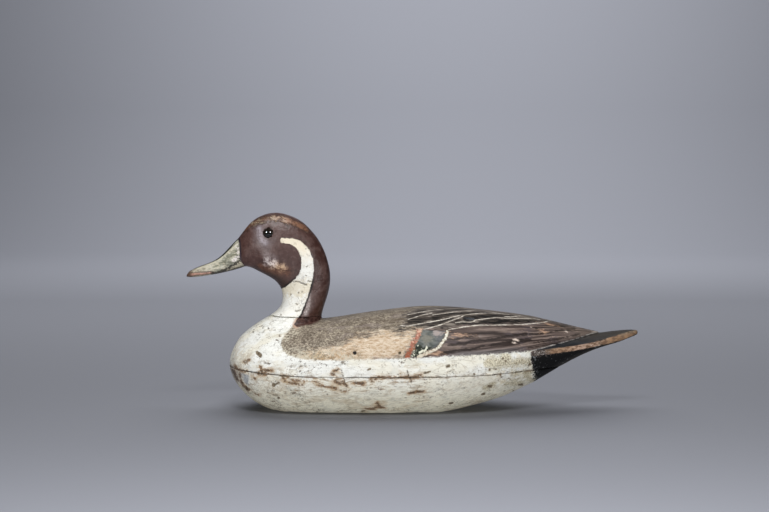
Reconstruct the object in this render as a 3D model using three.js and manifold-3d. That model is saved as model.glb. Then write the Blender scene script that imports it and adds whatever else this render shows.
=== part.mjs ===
// A drake pintail hunting decoy: two carved wooden body halves joined at a
// seam, a head and neck carved with the bill in one piece, and two glass eyes.
// Millimetres. The bill points to -X, the tail to +X, the duck's left side is
// -Y, and the origin is under the middle of the decoy, on its flat underside.
import * as THREE from "three";
import { mergeVertices } from "three/addons/utils/BufferGeometryUtils.js";
import Module from "manifold-3d";

const wasm = await Module();
wasm.setup();

// Driving dimensions.
const BILL_TIP = -222.5;
const TAIL_TIP = 222.5;
const SEAM_GAP = 0.3;
const SEAT_HEIGHT = 91.4; // the level joint between the neck and the body
const EYE_RADIUS = 5.4;
const EYE_PLACE = { x: -141, y: 14.9, z: 173.2 }; // y is to either side
const FAR = 400; // past the decoy on every side, for the cutting blocks

// How finely the carved forms are faceted: steps between two rows of a list,
// and steps round a section.
const STEPS_PER_ROW = 2;
const HULL_LOWER_STEPS = 10;
const HULL_UPPER_STEPS = 10;
const WING_STEPS = 9;
const HEAD_STEPS = 24;
const EYE_STEPS = 14;

// Rows of numbers, with smooth in-between rows added: a list of stations.
function stations(rows) {
  const places = rows.map((row, i) => i);
  const keys = new THREE.CubicInterpolant(places, rows.flat(), rows[0].length);
  const made = [];
  for (let i = 0; i <= (rows.length - 1) * STEPS_PER_ROW; i++) made.push([...keys.evaluate(i / STEPS_PER_ROW)]);
  return made;
}

// The signed power that bends a circle into a superellipse.
const bend = (value, power) => Math.sign(value) * Math.abs(value) ** (2 / power);

// A closed surface through rings of equal length, each end drawn to a point.
function loft(rings, firstPoint, lastPoint) {
  const steps = rings[0].length;
  const positions = [...firstPoint, ...rings.flat(2), ...lastPoint];
  const last = 1 + rings.length * steps;
  const faces = [];
  for (let i = 0; i < steps; i++) {
    const j = (i + 1) % steps;
    faces.push(0, 1 + j, 1 + i);
    faces.push(last, last - steps + i, last - steps + j);
    for (let k = 0; k + 1 < rings.length; k++) {
      const here = 1 + k * steps;
      const next = here + steps;
      faces.push(here + i, here + j, next + j, here + i, next + j, next + i);
    }
  }
  const geometry = new THREE.BufferGeometry();
  geometry.setAttribute("position", new THREE.Float32BufferAttribute(positions, 3));
  geometry.setIndex(faces);
  return geometry;
}

function solid(geometry) {
  const bare = geometry.clone();
  bare.deleteAttribute("normal");
  bare.deleteAttribute("uv");
  const merged = mergeVertices(bare, 1e-4);
  const made = new wasm.Manifold(
    new wasm.Mesh({
      numProp: 3,
      vertProperties: new Float32Array(merged.attributes.position.array),
      triVerts: new Uint32Array(merged.index.array),
    }),
  );
  return made.volume() < 0 ? solid(turnedOver(merged)) : made;
}

function turnedOver(geometry) {
  const faces = [...geometry.index.array];
  for (let i = 0; i < faces.length; i += 3) [faces[i], faces[i + 1]] = [faces[i + 1], faces[i]];
  return geometry.setIndex(faces);
}

function block(low, high) {
  const size = high.map((v, i) => v - low[i]);
  const box = new THREE.BoxGeometry(...size);
  box.translate(...low.map((v, i) => v + size[i] / 2));
  return solid(box);
}

// The hull is the whole body with the rump and the tail, before it is split.
// Each row is a station: x, half breadth, height of the widest line, half
// thickness of the tail's edge, keel, top of the back, powers of the lower
// and upper curves (2 is an ellipse, less is more like a roof), and how far
// the middle of the breast swells up towards the neck.
const HULL = [
  [-180.5, 0, 44, 0, 44, 44, 2, 2, 0],
  [-180.1, 8, 44, 0, 40, 48.5, 2, 2, 0],
  [-178.9, 16, 44, 0, 35.6, 53.4, 2, 2, 0.2],
  [-175.6, 28, 43.8, 0, 28, 60.2, 2.05, 2.05, 1.2],
  [-170, 39, 43.5, 0, 20, 66.4, 2.1, 2.1, 3.8],
  [-160, 51, 43.2, 0, 10.6, 71.6, 2.2, 2.15, 7.8],
  [-146, 60.5, 43, 0, 2, 77.2, 2.3, 2.2, 11],
  [-128, 67.5, 42.7, 0, -3.6, 82, 2.3, 2.25, 8.4],
  [-108, 72.2, 42.4, 0, -6, 85.2, 2.3, 2.3, 4.2],
  [-92, 74.4, 42.2, 0, -6.4, 86.7, 2.3, 2.3, 0.8],
  [-72, 75.8, 42, 0, -6.6, 89.5, 2.3, 2.3, 0],
  [-40, 76.2, 42, 0, -6.6, 94.4, 2.3, 2.3, 0],
  [-8, 75.3, 42.3, 0, -6.2, 98.7, 2.3, 2.25, 0],
  [20, 73.4, 43, 0, -4.6, 100.3, 2.3, 2.2, 0],
  [44, 69.5, 44.8, 0, -0.2, 99.2, 2.25, 2.1, 0],
  [66, 63.8, 47.4, 0, 5, 97.4, 2.2, 2, 0],
  [86, 57.2, 50.8, 0, 10.8, 95.2, 2.1, 1.95, 0],
  [102, 50.5, 54.2, 0.2, 17.4, 93.1, 2, 1.9, 0],
  [112, 45.6, 56.8, 1, 22.2, 91.1, 1.95, 1.82, 0],
  [120, 41.8, 58.3, 2.1, 26, 87.4, 1.9, 1.66, 0],
  [130, 37.2, 59.2, 2.5, 31.9, 78, 1.8, 1.42, 0],
  [142, 32.2, 60.1, 2.6, 39, 71.6, 1.8, 1.3, 0],
  [155, 27.4, 61.4, 2.6, 46.4, 71.4, 1.8, 1.35, 0],
  [170, 22, 63.6, 2.5, 54, 72.8, 1.8, 1.4, 0],
  [186, 16.6, 66.6, 2.6, 60, 74.3, 1.9, 1.5, 0],
  [201, 11.6, 69.8, 2.9, 64.6, 76, 2, 1.7, 0],
  [213, 7.7, 73.1, 2.7, 69.1, 76.8, 2, 2, 0],
  [219.5, 5.2, 74.2, 2, 71.5, 76.9, 2, 2, 0],
  [221.9, 2.9, 74.6, 1.3, 72.8, 76.4, 2, 2, 0],
  [TAIL_TIP, 0, 74.8, 0, 74.8, 74.8, 2, 2, 0],
];
const SWELL_WIDTH = 28; // how far the swell of the breast reaches to a side

function hullRing([x, breadth, beam, edge, keel, back, lowerPower, upperPower, swell]) {
  const side = [];
  for (let i = 0; i <= HULL_LOWER_STEPS; i++) {
    const a = (Math.PI / 2) * (i / HULL_LOWER_STEPS);
    const y = breadth * bend(Math.sin(a), lowerPower);
    side.push([x, y, beam - edge - (beam - edge - keel) * bend(Math.cos(a), lowerPower)]);
  }
  for (let i = 0; i <= HULL_UPPER_STEPS; i++) {
    const a = (Math.PI / 2) * (i / HULL_UPPER_STEPS);
    const y = breadth * bend(Math.cos(a), upperPower);
    const risen = swell * Math.exp(-((y / SWELL_WIDTH) ** 2)) * Math.sin(a);
    side.push([x, y, beam + edge + (back - beam - edge) * bend(Math.sin(a), upperPower) + risen]);
  }
  const other = side.slice(1, -1).reverse().map((point) => [point[0], -point[1], point[2]]);
  return [...side, ...other];
}

function hull() {
  const rings = stations(HULL).slice(1, -1).map(hullRing);
  const [bow, stern] = [HULL[0], HULL.at(-1)];
  return solid(loft(rings, [bow[0], 0, bow[2]], [stern[0], 0, stern[2]]));
}

// The folded wings lie on the rump and end in a point over the tail. Each
// row: x, half width, height of the lower edge, height of the top, depth of
// the valley between the two wings.
const WINGS = [
  [88, 48.5, 58.6, 94, 0],
  [101, 45.8, 58.4, 92.9, 0],
  [111, 43.2, 58.8, 91.7, 0.1],
  [119, 39.9, 60, 90.5, 0.4],
  [126, 35.4, 62, 89.1, 0.8],
  [134, 31, 64.4, 87.5, 1.2],
  [144, 26.2, 66.8, 85.2, 1.6],
  [154, 21.2, 69.2, 82.6, 1.9],
  [164, 15.9, 71.6, 79.9, 2],
  [174, 10.2, 73.6, 77.4, 1.5],
  [180, 6, 74.4, 76, 0.8],
  [183.4, 2.6, 74.8, 75.3, 0.2],
];
const WING_DEPTH = 8; // below the lower edge, inside the rump and the tail
const WING_UNDERCUT = 0.92; // half width down there, against that of the edge
const VALLEY_WIDTH = 0.13; // of the half circle that the ring goes round

function wingRing([x, half, edge, top, valley]) {
  const ring = [];
  for (let i = -WING_STEPS; i <= WING_STEPS; i++) {
    const turn = i / WING_STEPS;
    const a = (Math.PI / 2) * turn;
    const groove = valley * Math.exp(-((turn / VALLEY_WIDTH) ** 2));
    ring.push([x, half * Math.sin(a), edge + (top - edge) * Math.cos(a) - groove]);
  }
  ring.push([x, half * WING_UNDERCUT, edge - WING_DEPTH]);
  ring.push([x, -half * WING_UNDERCUT, edge - WING_DEPTH]);
  return ring;
}

function wings() {
  const rings = stations(WINGS).map(wingRing);
  const [front, tip] = [WINGS[0], WINGS.at(-1)];
  return solid(loft(rings, [front[0] - 1, 0, front[2]], [tip[0] + 0.6, 0, tip[2] - 1.5]));
}

// The head, neck and bill. Each row is a slice between a point on the upper
// or hind outline and one on the lower or front outline: upper x and z, lower
// x and z, half width, power of the section, and how much narrower it gets
// towards the upper outline. Below the seat the neck runs into the breast.
const HEAD = [
  [-222.1, 132, -222.2, 129.7, 4.4, 2.2, 0],
  [-219.6, 135.2, -220, 129.2, 8, 2.3, 0.05],
  [-213.6, 138.3, -214, 129.4, 10.8, 2.4, 0.12],
  [-204.5, 141.6, -205, 130.5, 12.2, 2.4, 0.2],
  [-194.5, 145.8, -195, 132.1, 12.2, 2.3, 0.26],
  [-186, 152.6, -185.5, 133.8, 11.8, 2.2, 0.3],
  [-177.8, 161.5, -175.2, 136.4, 11.6, 2.1, 0.32],
  [-172, 167.4, -165.6, 139.2, 12, 2.1, 0.3],
  [-170.8, 168.8, -164.4, 139.6, 13.2, 2.1, 0.28],
  [-165.6, 175.6, -161, 139.2, 15.8, 2.15, 0.2],
  [-158.4, 184.2, -156.2, 137.4, 18.2, 2.2, 0.15],
  [-148, 190.4, -149.8, 134, 20.4, 2.2, 0.12],
  [-135.5, 193.4, -142.4, 130.2, 21.6, 2.15, 0.1],
  [-120.6, 190.6, -136, 126.2, 21.8, 2.1, 0.07],
  [-106.2, 182.6, -131.6, 121.4, 20.8, 2.05, 0.03],
  [-93, 167.7, -129.2, 116.6, 18.8, 2, 0],
  [-84.6, 150.6, -128.3, 112, 17.4, 2, -0.03],
  [-80.4, 131, -128.3, 107.2, 17.2, 2, -0.05],
  [-82.4, 115.2, -129.8, 101.4, 18, 2, -0.05],
  [-86.2, 103, -134.4, 96, 20, 2, -0.03],
  [-89.6, SEAT_HEIGHT, -141, SEAT_HEIGHT, 22.6, 2, 0],
  [-90.2, 86, -149.6, 86.2, 26, 2, 0],
  [-90, 78, -154, 79, 31, 2, 0],
  [-92, 64, -154, 64, 34, 2, 0],
];
const HEAD_FRONT = [BILL_TIP, 0, 130.6];
const NECK_ROOT = [-122, 0, 58];

// The hollow that the carver left round each eye.
const EYE_HOLLOW = { x: -144, z: 173.4, length: 14, height: 8, depth: 1.2 };

function headRing([overX, overZ, underX, underZ, half, power, taper]) {
  const { x: hollowX, z: hollowZ, length, height, depth } = EYE_HOLLOW;
  const ring = [];
  for (let i = 0; i < HEAD_STEPS; i++) {
    const a = (2 * Math.PI * i) / HEAD_STEPS;
    const up = bend(Math.cos(a), power);
    const x = (overX + underX) / 2 + (up * (overX - underX)) / 2;
    const z = (overZ + underZ) / 2 + (up * (overZ - underZ)) / 2;
    const full = half * bend(Math.sin(a), power) * (1 - taper * up);
    const away = ((x - hollowX) / length) ** 2 + ((z - hollowZ) / height) ** 2;
    const cut = Math.min(Math.abs(full), depth * Math.exp(-away));
    ring.push([x, full - Math.sign(full) * cut, z]);
  }
  return ring;
}

function headAndNeckRoot() {
  return solid(loft(stations(HEAD).map(headRing), HEAD_FRONT, NECK_ROOT));
}

// The mouth is a groove on each side of the bill, drawn as a narrow curved
// strip and cut in from the side, down to half the bill's breadth.
const MOUTH = { front: [-189, 134.4], bend: [-175, 141.4], back: [-166.5, 149.6] };
const MOUTH_WIDTH = 1.6;
const MOUTH_FLOOR = 10.4; // from the middle of the bill
const MOUTH_STEPS = 6;

function mouthGroove(side) {
  const strip = new THREE.Shape();
  const line = new THREE.QuadraticBezierCurve(
    new THREE.Vector2(...MOUTH.front),
    new THREE.Vector2(...MOUTH.bend),
    new THREE.Vector2(...MOUTH.back),
  );
  const upper = line.getPoints(MOUTH_STEPS);
  const middle = upper.slice(1, -1).reverse();
  const lower = middle.map((p) => new THREE.Vector2(p.x + MOUTH_WIDTH / 2, p.y - MOUTH_WIDTH));
  strip.setFromPoints([...upper, ...lower]);
  const cut = new THREE.ExtrudeGeometry(strip, { depth: FAR, bevelEnabled: false });
  cut.rotateX(Math.PI / 2);
  cut.translate(0, side < 0 ? -MOUTH_FLOOR : MOUTH_FLOOR + FAR, 0);
  return solid(cut);
}

// The seam between the halves is level, lifts a little under the rump, and rises round the breast.
const SEAM_LEVEL = 39.3;
const SEAM_LIFT = { from: 45, to: 150, rise: 3.4 };
const SEAM_BREAST = { from: 90, to: 190, rise: 3.8 };
const SEAM_STEP = 7;

function seamHeight(x) {
  const underRump = THREE.MathUtils.smoothstep(x, SEAM_LIFT.from, SEAM_LIFT.to);
  const atBreast = THREE.MathUtils.smoothstep(-x, SEAM_BREAST.from, SEAM_BREAST.to);
  return SEAM_LEVEL + SEAM_LIFT.rise * underRump + SEAM_BREAST.rise * atBreast;
}

// Everything from the flat underside up to the seam, as a block.
function underSeam(offset) {
  const outline = new THREE.Shape();
  outline.moveTo(-FAR, 0);
  outline.lineTo(FAR, 0);
  outline.lineTo(FAR, seamHeight(FAR) + offset);
  for (let x = SEAM_LIFT.to; x >= SEAM_LIFT.from; x -= SEAM_STEP) outline.lineTo(x, seamHeight(x) + offset);
  for (let x = -SEAM_BREAST.from; x >= -SEAM_BREAST.to; x -= SEAM_STEP) outline.lineTo(x, seamHeight(x) + offset);
  outline.lineTo(-FAR, seamHeight(-FAR) + offset);
  const cut = new THREE.ExtrudeGeometry(outline, { depth: 2 * FAR, bevelEnabled: false });
  cut.rotateX(Math.PI / 2);
  cut.translate(0, FAR, 0);
  return solid(cut);
}

function eyeball(side, radius) {
  const ball = new THREE.SphereGeometry(radius, EYE_STEPS, EYE_STEPS / 2);
  ball.translate(EYE_PLACE.x, side * EYE_PLACE.y, EYE_PLACE.z);
  return solid(ball);
}

const paint = (colour, roughness) => new THREE.MeshStandardMaterial({ color: colour, roughness, metalness: 0 });
const MATERIALS = {
  flank: paint(0xd8d3c4, 0.6),
  back: paint(0x7d6f63, 0.65),
  head: paint(0x4b3833, 0.4),
  glass: paint(0x0b0908, 0.08),
};

function carved(name, shape, material) {
  const { numProp, vertProperties, triVerts, numVert } = shape.getMesh();
  const places = new Float32Array(numVert * 3);
  for (let i = 0; i < numVert; i++) places.set(vertProperties.subarray(i * numProp, i * numProp + 3), i * 3);
  const geometry = new THREE.BufferGeometry();
  geometry.setAttribute("position", new THREE.BufferAttribute(places, 3));
  geometry.setIndex(new THREE.BufferAttribute(triVerts, 1));
  geometry.computeVertexNormals();
  const mesh = new THREE.Mesh(geometry, material);
  mesh.name = name;
  return mesh;
}

const wholeHull = hull();
const neck = headAndNeckRoot();
const overSeat = block([-FAR, -FAR, SEAT_HEIGHT + SEAM_GAP / 2], [FAR, FAR, FAR]);
const underSeat = block([-FAR, -FAR, 0], [FAR, FAR, SEAT_HEIGHT - SEAM_GAP / 2]);
const cuts = [-1, 1].flatMap((side) => [eyeball(side, EYE_RADIUS + SEAM_GAP), mouthGroove(side)]);

const bodyLower = wholeHull.intersect(underSeam(-SEAM_GAP / 2));
const bodyUpper = wholeHull
  .add(wings())
  .add(neck.intersect(underSeat))
  .subtract(underSeam(SEAM_GAP / 2))
  .subtract(block([-FAR, -FAR, -FAR], [FAR, FAR, 1]));
const head = cuts.reduce((rest, cut) => rest.subtract(cut), neck.intersect(overSeat));

const decoy = new THREE.Group();
decoy.name = "pintail_decoy";
decoy.add(carved("body_lower", bodyLower, MATERIALS.flank));
decoy.add(carved("body_upper", bodyUpper, MATERIALS.back));
decoy.add(carved("head_and_neck", head, MATERIALS.head));
decoy.add(carved("eye_left", eyeball(-1, EYE_RADIUS), MATERIALS.glass));
decoy.add(carved("eye_right", eyeball(1, EYE_RADIUS), MATERIALS.glass));

export default decoy;
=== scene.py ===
# %% [markdown]
# # A painted wooden pintail decoy
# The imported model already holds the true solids: two carved body halves that
# meet at a level seam, one head and neck with its bill, and two glass eyes.
# This lesson dresses them: the wood gets its finer carving and its damage,
# and then the old paint goes on, layer by layer, as the carver laid it.

# %% Load the frame
from math import radians

import bmesh
import bpy
import numpy as np
from mathutils import Euler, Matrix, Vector, noise
from mathutils.bvhtree import BVHTree
from mathutils.kdtree import KDTree


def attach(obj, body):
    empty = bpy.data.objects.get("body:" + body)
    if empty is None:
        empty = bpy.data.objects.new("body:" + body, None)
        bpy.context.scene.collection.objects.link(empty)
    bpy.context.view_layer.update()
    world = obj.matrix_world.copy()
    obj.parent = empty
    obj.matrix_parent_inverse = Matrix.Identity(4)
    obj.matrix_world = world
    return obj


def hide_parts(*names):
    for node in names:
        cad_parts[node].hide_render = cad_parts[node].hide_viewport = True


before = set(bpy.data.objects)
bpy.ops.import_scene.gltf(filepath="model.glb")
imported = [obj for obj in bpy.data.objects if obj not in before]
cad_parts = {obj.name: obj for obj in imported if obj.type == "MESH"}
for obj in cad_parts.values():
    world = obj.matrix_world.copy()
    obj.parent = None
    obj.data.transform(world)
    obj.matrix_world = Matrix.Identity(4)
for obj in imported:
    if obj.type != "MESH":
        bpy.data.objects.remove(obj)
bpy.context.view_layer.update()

MM = 0.001

# %% [markdown]
# ## The camera
# A long lens well away from the decoy keeps its sides nearly parallel, as a
# catalogue photograph does. It looks a few degrees down, so that the far edge
# of the back stays hidden and the near edge of the bottom shows.

# %% Set up the camera
CAMERA_PLACE = Vector((-0.0276, -2.1932, 0.3226))
CAMERA_LOOKS_DOWN = radians(4.5)
CAMERA_LENS = 104.6

bpy.ops.object.camera_add(location=CAMERA_PLACE, rotation=(radians(90) - CAMERA_LOOKS_DOWN, 0, 0))
camera = bpy.context.object
camera.data.lens = CAMERA_LENS
camera.data.clip_end = 20
bpy.context.scene.camera = camera
print("camera", round(camera.data.lens, 1), "mm lens,", round(CAMERA_PLACE.length, 2), "m away")

# %% [markdown]
# ## Copying a carved block
# The solids have the decoy's true form in flat facets, and a carver's knife
# leaves none of that. A copy of each solid is merged, its triangles are joined
# to four-sided faces, and its crisp edges are creased. Subdivision then rounds
# every facet between those edges, and a voxel remesh gives an even skin of
# small faces that can take dents, splits and paint. A voxel remesh also blunts
# the edges of the joints, so the nearest points are drawn back to them, and
# only the others are smoothed.

# %% Helpers for one block
EYE_RADIUS = 5.4 * MM
EYE_PLACE = (-141 * MM, 14.9 * MM, 173.2 * MM)  # of the far eye; the near one mirrors it
WELD = 0.01 * MM
FLAT_TOGETHER = radians(20)  # two triangles that lie this level are joined
NEARLY_SQUARE = radians(50)
CRISP_EDGE = radians(27)
CRISP_STEP = 0.4 * MM
CRISP_PULL = 0.8  # of the size of a face
ROUNDING_LEVELS = 2


def select_only(piece):
    bpy.ops.object.select_all(action="DESELECT")
    piece.select_set(True)
    bpy.context.view_layer.objects.active = piece


def apply_modifier(piece, kind, **settings):
    modifier = piece.modifiers.new(kind.title(), kind)
    for setting, value in settings.items():
        setattr(modifier, setting, value)
    select_only(piece)
    bpy.ops.object.modifier_apply(modifier=modifier.name)


def crisp_places(piece):
    """Places close together along every crisp edge."""
    shape = bmesh.new()
    shape.from_mesh(piece.data)
    places = []
    for edge in shape.edges:
        if edge.calc_face_angle(0) > CRISP_EDGE:
            steps = int(edge.calc_length() / CRISP_STEP) + 1
            places += [edge.verts[0].co.lerp(edge.verts[1].co, i / steps) for i in range(steps + 1)]
    shape.free()
    return places


def draw_to(piece, places, reach):
    """Moves the points within reach of the places onto them, and gathers all the others in a group."""
    tree = KDTree(len(places))
    for index, place in enumerate(places):
        tree.insert(place, index)
    tree.balance()
    free = piece.vertex_groups.new(name="free")
    for point in piece.data.vertices:
        place, index, distance = tree.find(point.co)
        if distance < reach:
            point.co = place
        else:
            free.add([point.index], 1, "REPLACE")


# %% Copy, round and remesh the three blocks
def carved_copy(node, name, grain, sanding):
    """A fine-skinned copy of a solid: grain is the size of its faces, sanding the rounds of smoothing."""
    piece = bpy.data.objects.new(name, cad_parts[node].data.copy())
    bpy.context.scene.collection.objects.link(piece)
    piece.data.materials.clear()
    select_only(piece)
    bpy.ops.object.mode_set(mode="EDIT")
    bpy.ops.mesh.select_mode(type="EDGE")
    bpy.ops.mesh.select_all(action="SELECT")
    bpy.ops.mesh.remove_doubles(threshold=WELD)
    bpy.ops.mesh.tris_convert_to_quads(face_threshold=FLAT_TOGETHER, shape_threshold=NEARLY_SQUARE)
    bpy.ops.mesh.select_all(action="DESELECT")
    bpy.ops.mesh.edges_select_sharp(sharpness=CRISP_EDGE)
    bpy.ops.transform.edge_crease(value=1.0)
    bpy.ops.object.mode_set(mode="OBJECT")
    apply_modifier(piece, "SUBSURF", levels=ROUNDING_LEVELS, render_levels=ROUNDING_LEVELS)
    crisp = crisp_places(piece)
    apply_modifier(piece, "REMESH", mode="VOXEL", voxel_size=grain, use_smooth_shade=True)
    draw_to(piece, crisp, grain * CRISP_PULL)
    apply_modifier(piece, "SMOOTH", factor=0.5, iterations=sanding, vertex_group="free")
    print(name, "has", sum(len(face.vertices) - 2 for face in piece.data.polygons), "triangles")
    return piece


body_lower = carved_copy("body_lower", "carved_body_lower", 1.25 * MM, 5)
body_upper = carved_copy("body_upper", "carved_body_upper", 1.3 * MM, 5)
head = carved_copy("head_and_neck", "carved_head", 0.75 * MM, 5)

# %% [markdown]
# ## Measuring on the surface
# Paint and damage both need to know where they are. Every boundary of the
# paint is kept as a distance in millimetres from each point of the skin to a
# drawn line, and is stored on the mesh. A material can then cut a clean or a
# ragged edge at zero, at any closeness. A picture wrapped round the decoy
# would blur up close, and would stretch over the shoulders.

# %% Read and write the points of a piece
def points_of(piece):
    """The places of a piece's points, in millimetres."""
    flat = np.empty(len(piece.data.vertices) * 3, np.float32)
    piece.data.vertices.foreach_get("co", flat)
    return flat.reshape(-1, 3).astype(float) / MM


def normals_of(piece):
    flat = np.empty(len(piece.data.vertices) * 3, np.float32)
    piece.data.vertex_normals.foreach_get("vector", flat)
    return flat.reshape(-1, 3).astype(float)


def move_points(piece, places):
    piece.data.vertices.foreach_set("co", (places * MM).astype(np.float32).ravel())
    piece.data.update()


def keep_field(piece, name, values):
    """Stores one number for each point of the piece, for its material to read."""
    field = piece.data.attributes.new(name, "FLOAT", "POINT")
    field.data.foreach_set("value", np.asarray(values, np.float32))


def flowing(points, steps=5):
    """A smooth line through the given points."""
    knots = np.asarray(points, float)
    padded = np.vstack([2 * knots[0] - knots[1], knots, 2 * knots[-1] - knots[-2]])
    line = []
    for before, start, end, after in zip(padded, padded[1:], padded[2:], padded[3:]):
        for t in np.arange(steps) / steps:
            bent = 2 * before - 5 * start + 4 * end - after
            line.append(start + 0.5 * t
                        * (end - before + t * (bent + t * (3 * (start - end) + after - before))))
    return np.array(line + [knots[-1]])


def off_line(points, line):
    """The shortest distance from each point to a line of straight stretches."""
    nearest = np.full(len(points), np.inf)
    for start, end in zip(line[:-1], line[1:]):
        run = end - start
        along = np.clip((points - start) @ run / max(run @ run, 1e-9), 0, 1)
        nearest = np.minimum(nearest, np.linalg.norm(points - start - along[:, None] * run, axis=1))
    return nearest


def depth_inside(points, outline):
    """The distance to a closed flat outline: above zero inside, below zero outside."""
    ring = np.vstack([outline, outline[:1]])
    inside = np.zeros(len(points), bool)
    for (x0, y0), (x1, y1) in zip(ring[:-1], ring[1:]):
        spans = (y0 > points[:, 1]) != (y1 > points[:, 1])
        crossing = x0 + (points[:, 1] - y0) / ((y1 - y0) or 1) * (x1 - x0)
        inside ^= spans & (points[:, 0] < crossing)
    return off_line(points, ring) * np.where(inside, 1, -1)


# %% [markdown]
# ## The carver's hand, and a hard life
# A hand-carved block is never quite fair: the rasp leaves it gently uneven.
# On top of that come what years of use leave: filled nail holes, drying
# splits that follow the grain, bruises, and chips along the joint. Each is a
# small move of the skin along its normal, deepest in the middle, as a sculpt
# brush makes it. Each eye was pushed into soft putty, so the head is pressed
# in a little round it.

# %% Helpers for damage
RASP = {"body": (0.34, 26), "head": (0.2, 15)}  # depth and size of the uneven patches, mm
FINE_RASP = (0.08, 6)
FAR_OFF = 999  # mm, for a point that a mark can't reach


def unevenness(places, depth, size, seed):
    """Gentle ups and downs of a hand-worked surface."""
    shift = Vector((seed, seed * 2, seed * 3))
    return np.array([depth * noise.noise(Vector(place) / size + shift) for place in places])


def rasped(places, normals, part, seed):
    """The surface as the rasp left it: broad uneven patches first, then fine ones."""
    for (depth, size), draw in ((RASP[part], seed), (FINE_RASP, seed + 1)):
        places = places + normals * unevenness(places, depth, size, draw)[:, None]
    return places


def off_mark(places, x, z):
    """The distance from each point to a mark on the near side, as seen from that side."""
    return np.where(places[:, 1] < 0, np.hypot(places[:, 0] - x, places[:, 2] - z), FAR_OFF)


def press(places, normals, x, z, radius, depth):
    """A round dent with a soft rim, on the near side."""
    reach = off_mark(places, x, z) / radius
    return places - normals * (depth * np.exp(-(reach ** 2.5)))[:, None]


def split(places, normals, path, width, depth):
    """A narrow drying split along a path."""
    reach = off_line(places, np.array(path, float)) / width
    return places - normals * (depth * np.exp(-(reach ** 2)))[:, None]


# %% Work the two body blocks
SEAM_HEIGHT = 39.3
SEAM_LIFTS = [(45, 150, 3.4), (-90, -190, 3.8)]  # where the lift starts, where it is done, and its height
NAIL_HOLES = [(-56, 62.6, 1.9), (-13, 62.7, 1.5)]
BRUISES = [
    (-148, 58.6, 3.2, 0.7), (63, 76.4, 1.6, 0.8), (-134, 30.8, 3, 0.5), (3, 24.6, 5, 0.4),
    (32, 50.1, 2.5, 0.5), (58, 41.6, 2, 0.5), (73, 28.7, 2.4, 0.5), (105, 26.1, 3, 0.5),
]
CHEST_SPLIT = [(-169, -37, 34), (-163, -42, 27.3), (-158, -43, 21)]
SEAM_CHECK = [(-4.5, -75, 44), (-3.5, -75.5, 39.5), (-1.5, -74, 33)]
SEAM_CHIPS = {"reach": 2.2, "depth": 0.9, "size": 7}


def seam_line(x):
    """The height of the joint between the halves, a little higher under the rump and round the breast."""
    height = SEAM_HEIGHT
    for start, end, lift in SEAM_LIFTS:
        share = np.clip((x - start) / (end - start), 0, 1)
        height = height + lift * share * share * (3 - 2 * share)
    return height


def chip_along_seam(places, normals):
    near = np.exp(-((np.abs(places[:, 2] - seam_line(places[:, 0])) / SEAM_CHIPS["reach"]) ** 2))
    patchy = unevenness(places, 1.0, SEAM_CHIPS["size"], 5)
    outer = np.clip(np.abs(normals[:, 1]) + np.abs(normals[:, 0]), 0, 1)
    return places - normals * (SEAM_CHIPS["depth"] * near * outer * np.clip(patchy, 0, 1))[:, None]


for block in (body_lower, body_upper):
    places, normals = points_of(block), normals_of(block)
    places = rasped(places, normals, "body", 1)
    for x, z, radius in NAIL_HOLES:
        places = press(places, normals, x, z, radius, radius)
    for x, z, radius, depth in BRUISES:
        places = press(places, normals, x, z, radius, depth)
    places = split(places, normals, CHEST_SPLIT, 0.9, 1.5)
    places = split(places, normals, SEAM_CHECK, 0.8, 1.1)
    places = chip_along_seam(places, normals)
    places[:, 2] = np.maximum(places[:, 2], 0)
    move_points(block, places)
print("body worked:", len(NAIL_HOLES), "nail holes,", len(BRUISES), "bruises")

# %% Work the head
NECK_SPLIT = [(-116, -16, 126.4), (-110, -17, 124.8), (-104, -17, 122.8)]
NECK_FLAKES = [(-114, 111.9, 1.4), (-112, 104.3, 1.6), (-110, 99.6, 1.5), (-117, 107.9, 1)]

BILL_RIDGE = [
    (-172, 6.5, 162), (-179.2, 6.8, 156), (-188, 7, 148.4), (-195.9, 6.8, 144), (-204, 7.4, 140.6),
    (-211, 7, 138),
]
BILL_HOLLOW = [
    (-171.5, 10, 157.8), (-175.6, 9.8, 154.2), (-180, 10.4, 150), (-187.8, 10.8, 144.2),
    (-195.7, 10.8, 140.8),
]
BILL_RIM = [
    (-221.5, 4, 131.6), (-216, 10, 132.6), (-209, 12, 133.3), (-199.5, 12.3, 134), (-194.7, 11.4, 134.6),
]
NAIL_GROOVE = [(-217.5, 0, 137), (-217, 4, 136.3), (-218, 8, 133.5)]
CHEEK = [(-146, 20, 150), (-138.5, 20, 145.6), (-130.5, 19.6, 142), (-124, 19, 139)]
CARVED_LINES = [  # the line, its reach to each side, and its depth, which is below zero for a ridge
    (BILL_RIDGE, 1.6, -0.45), (BILL_HOLLOW, 2.6, 0.9), (BILL_RIM, 1.2, -0.3), (NAIL_GROOVE, 0.8, 0.4),
    (CHEEK, 5.5, -0.9),
]
SOCKET = {"reach": 6, "depth": 0.8}


def folded(places):
    """Both sides of the decoy laid on its far side, so that one line serves both."""
    return np.abs(places * (0, 1, 0)) + places * (1, 0, 1)


def off_eye(places):
    """The distance from each point to the middle of the eye on its own side."""
    return np.linalg.norm(folded(places) - np.array(EYE_PLACE) / MM, axis=1)


places, normals = points_of(head), normals_of(head)
for path, width, depth in CARVED_LINES:
    reach = off_line(folded(places), np.array(path, float)) / width
    places = places - normals * (depth * np.exp(-(reach ** 2)))[:, None]
places = rasped(places, normals, "head", 3)
places = places - normals * (SOCKET["depth"] * np.exp(-((off_eye(places) / SOCKET["reach"]) ** 6)))[:, None]
places = split(places, normals, NECK_SPLIT, 0.7, 0.9)
for x, z, radius in NECK_FLAKES:
    places = press(places, normals, x, z, radius, 0.4)
move_points(head, places)
print("head worked:", len(NECK_FLAKES), "flakes and a split")

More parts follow.
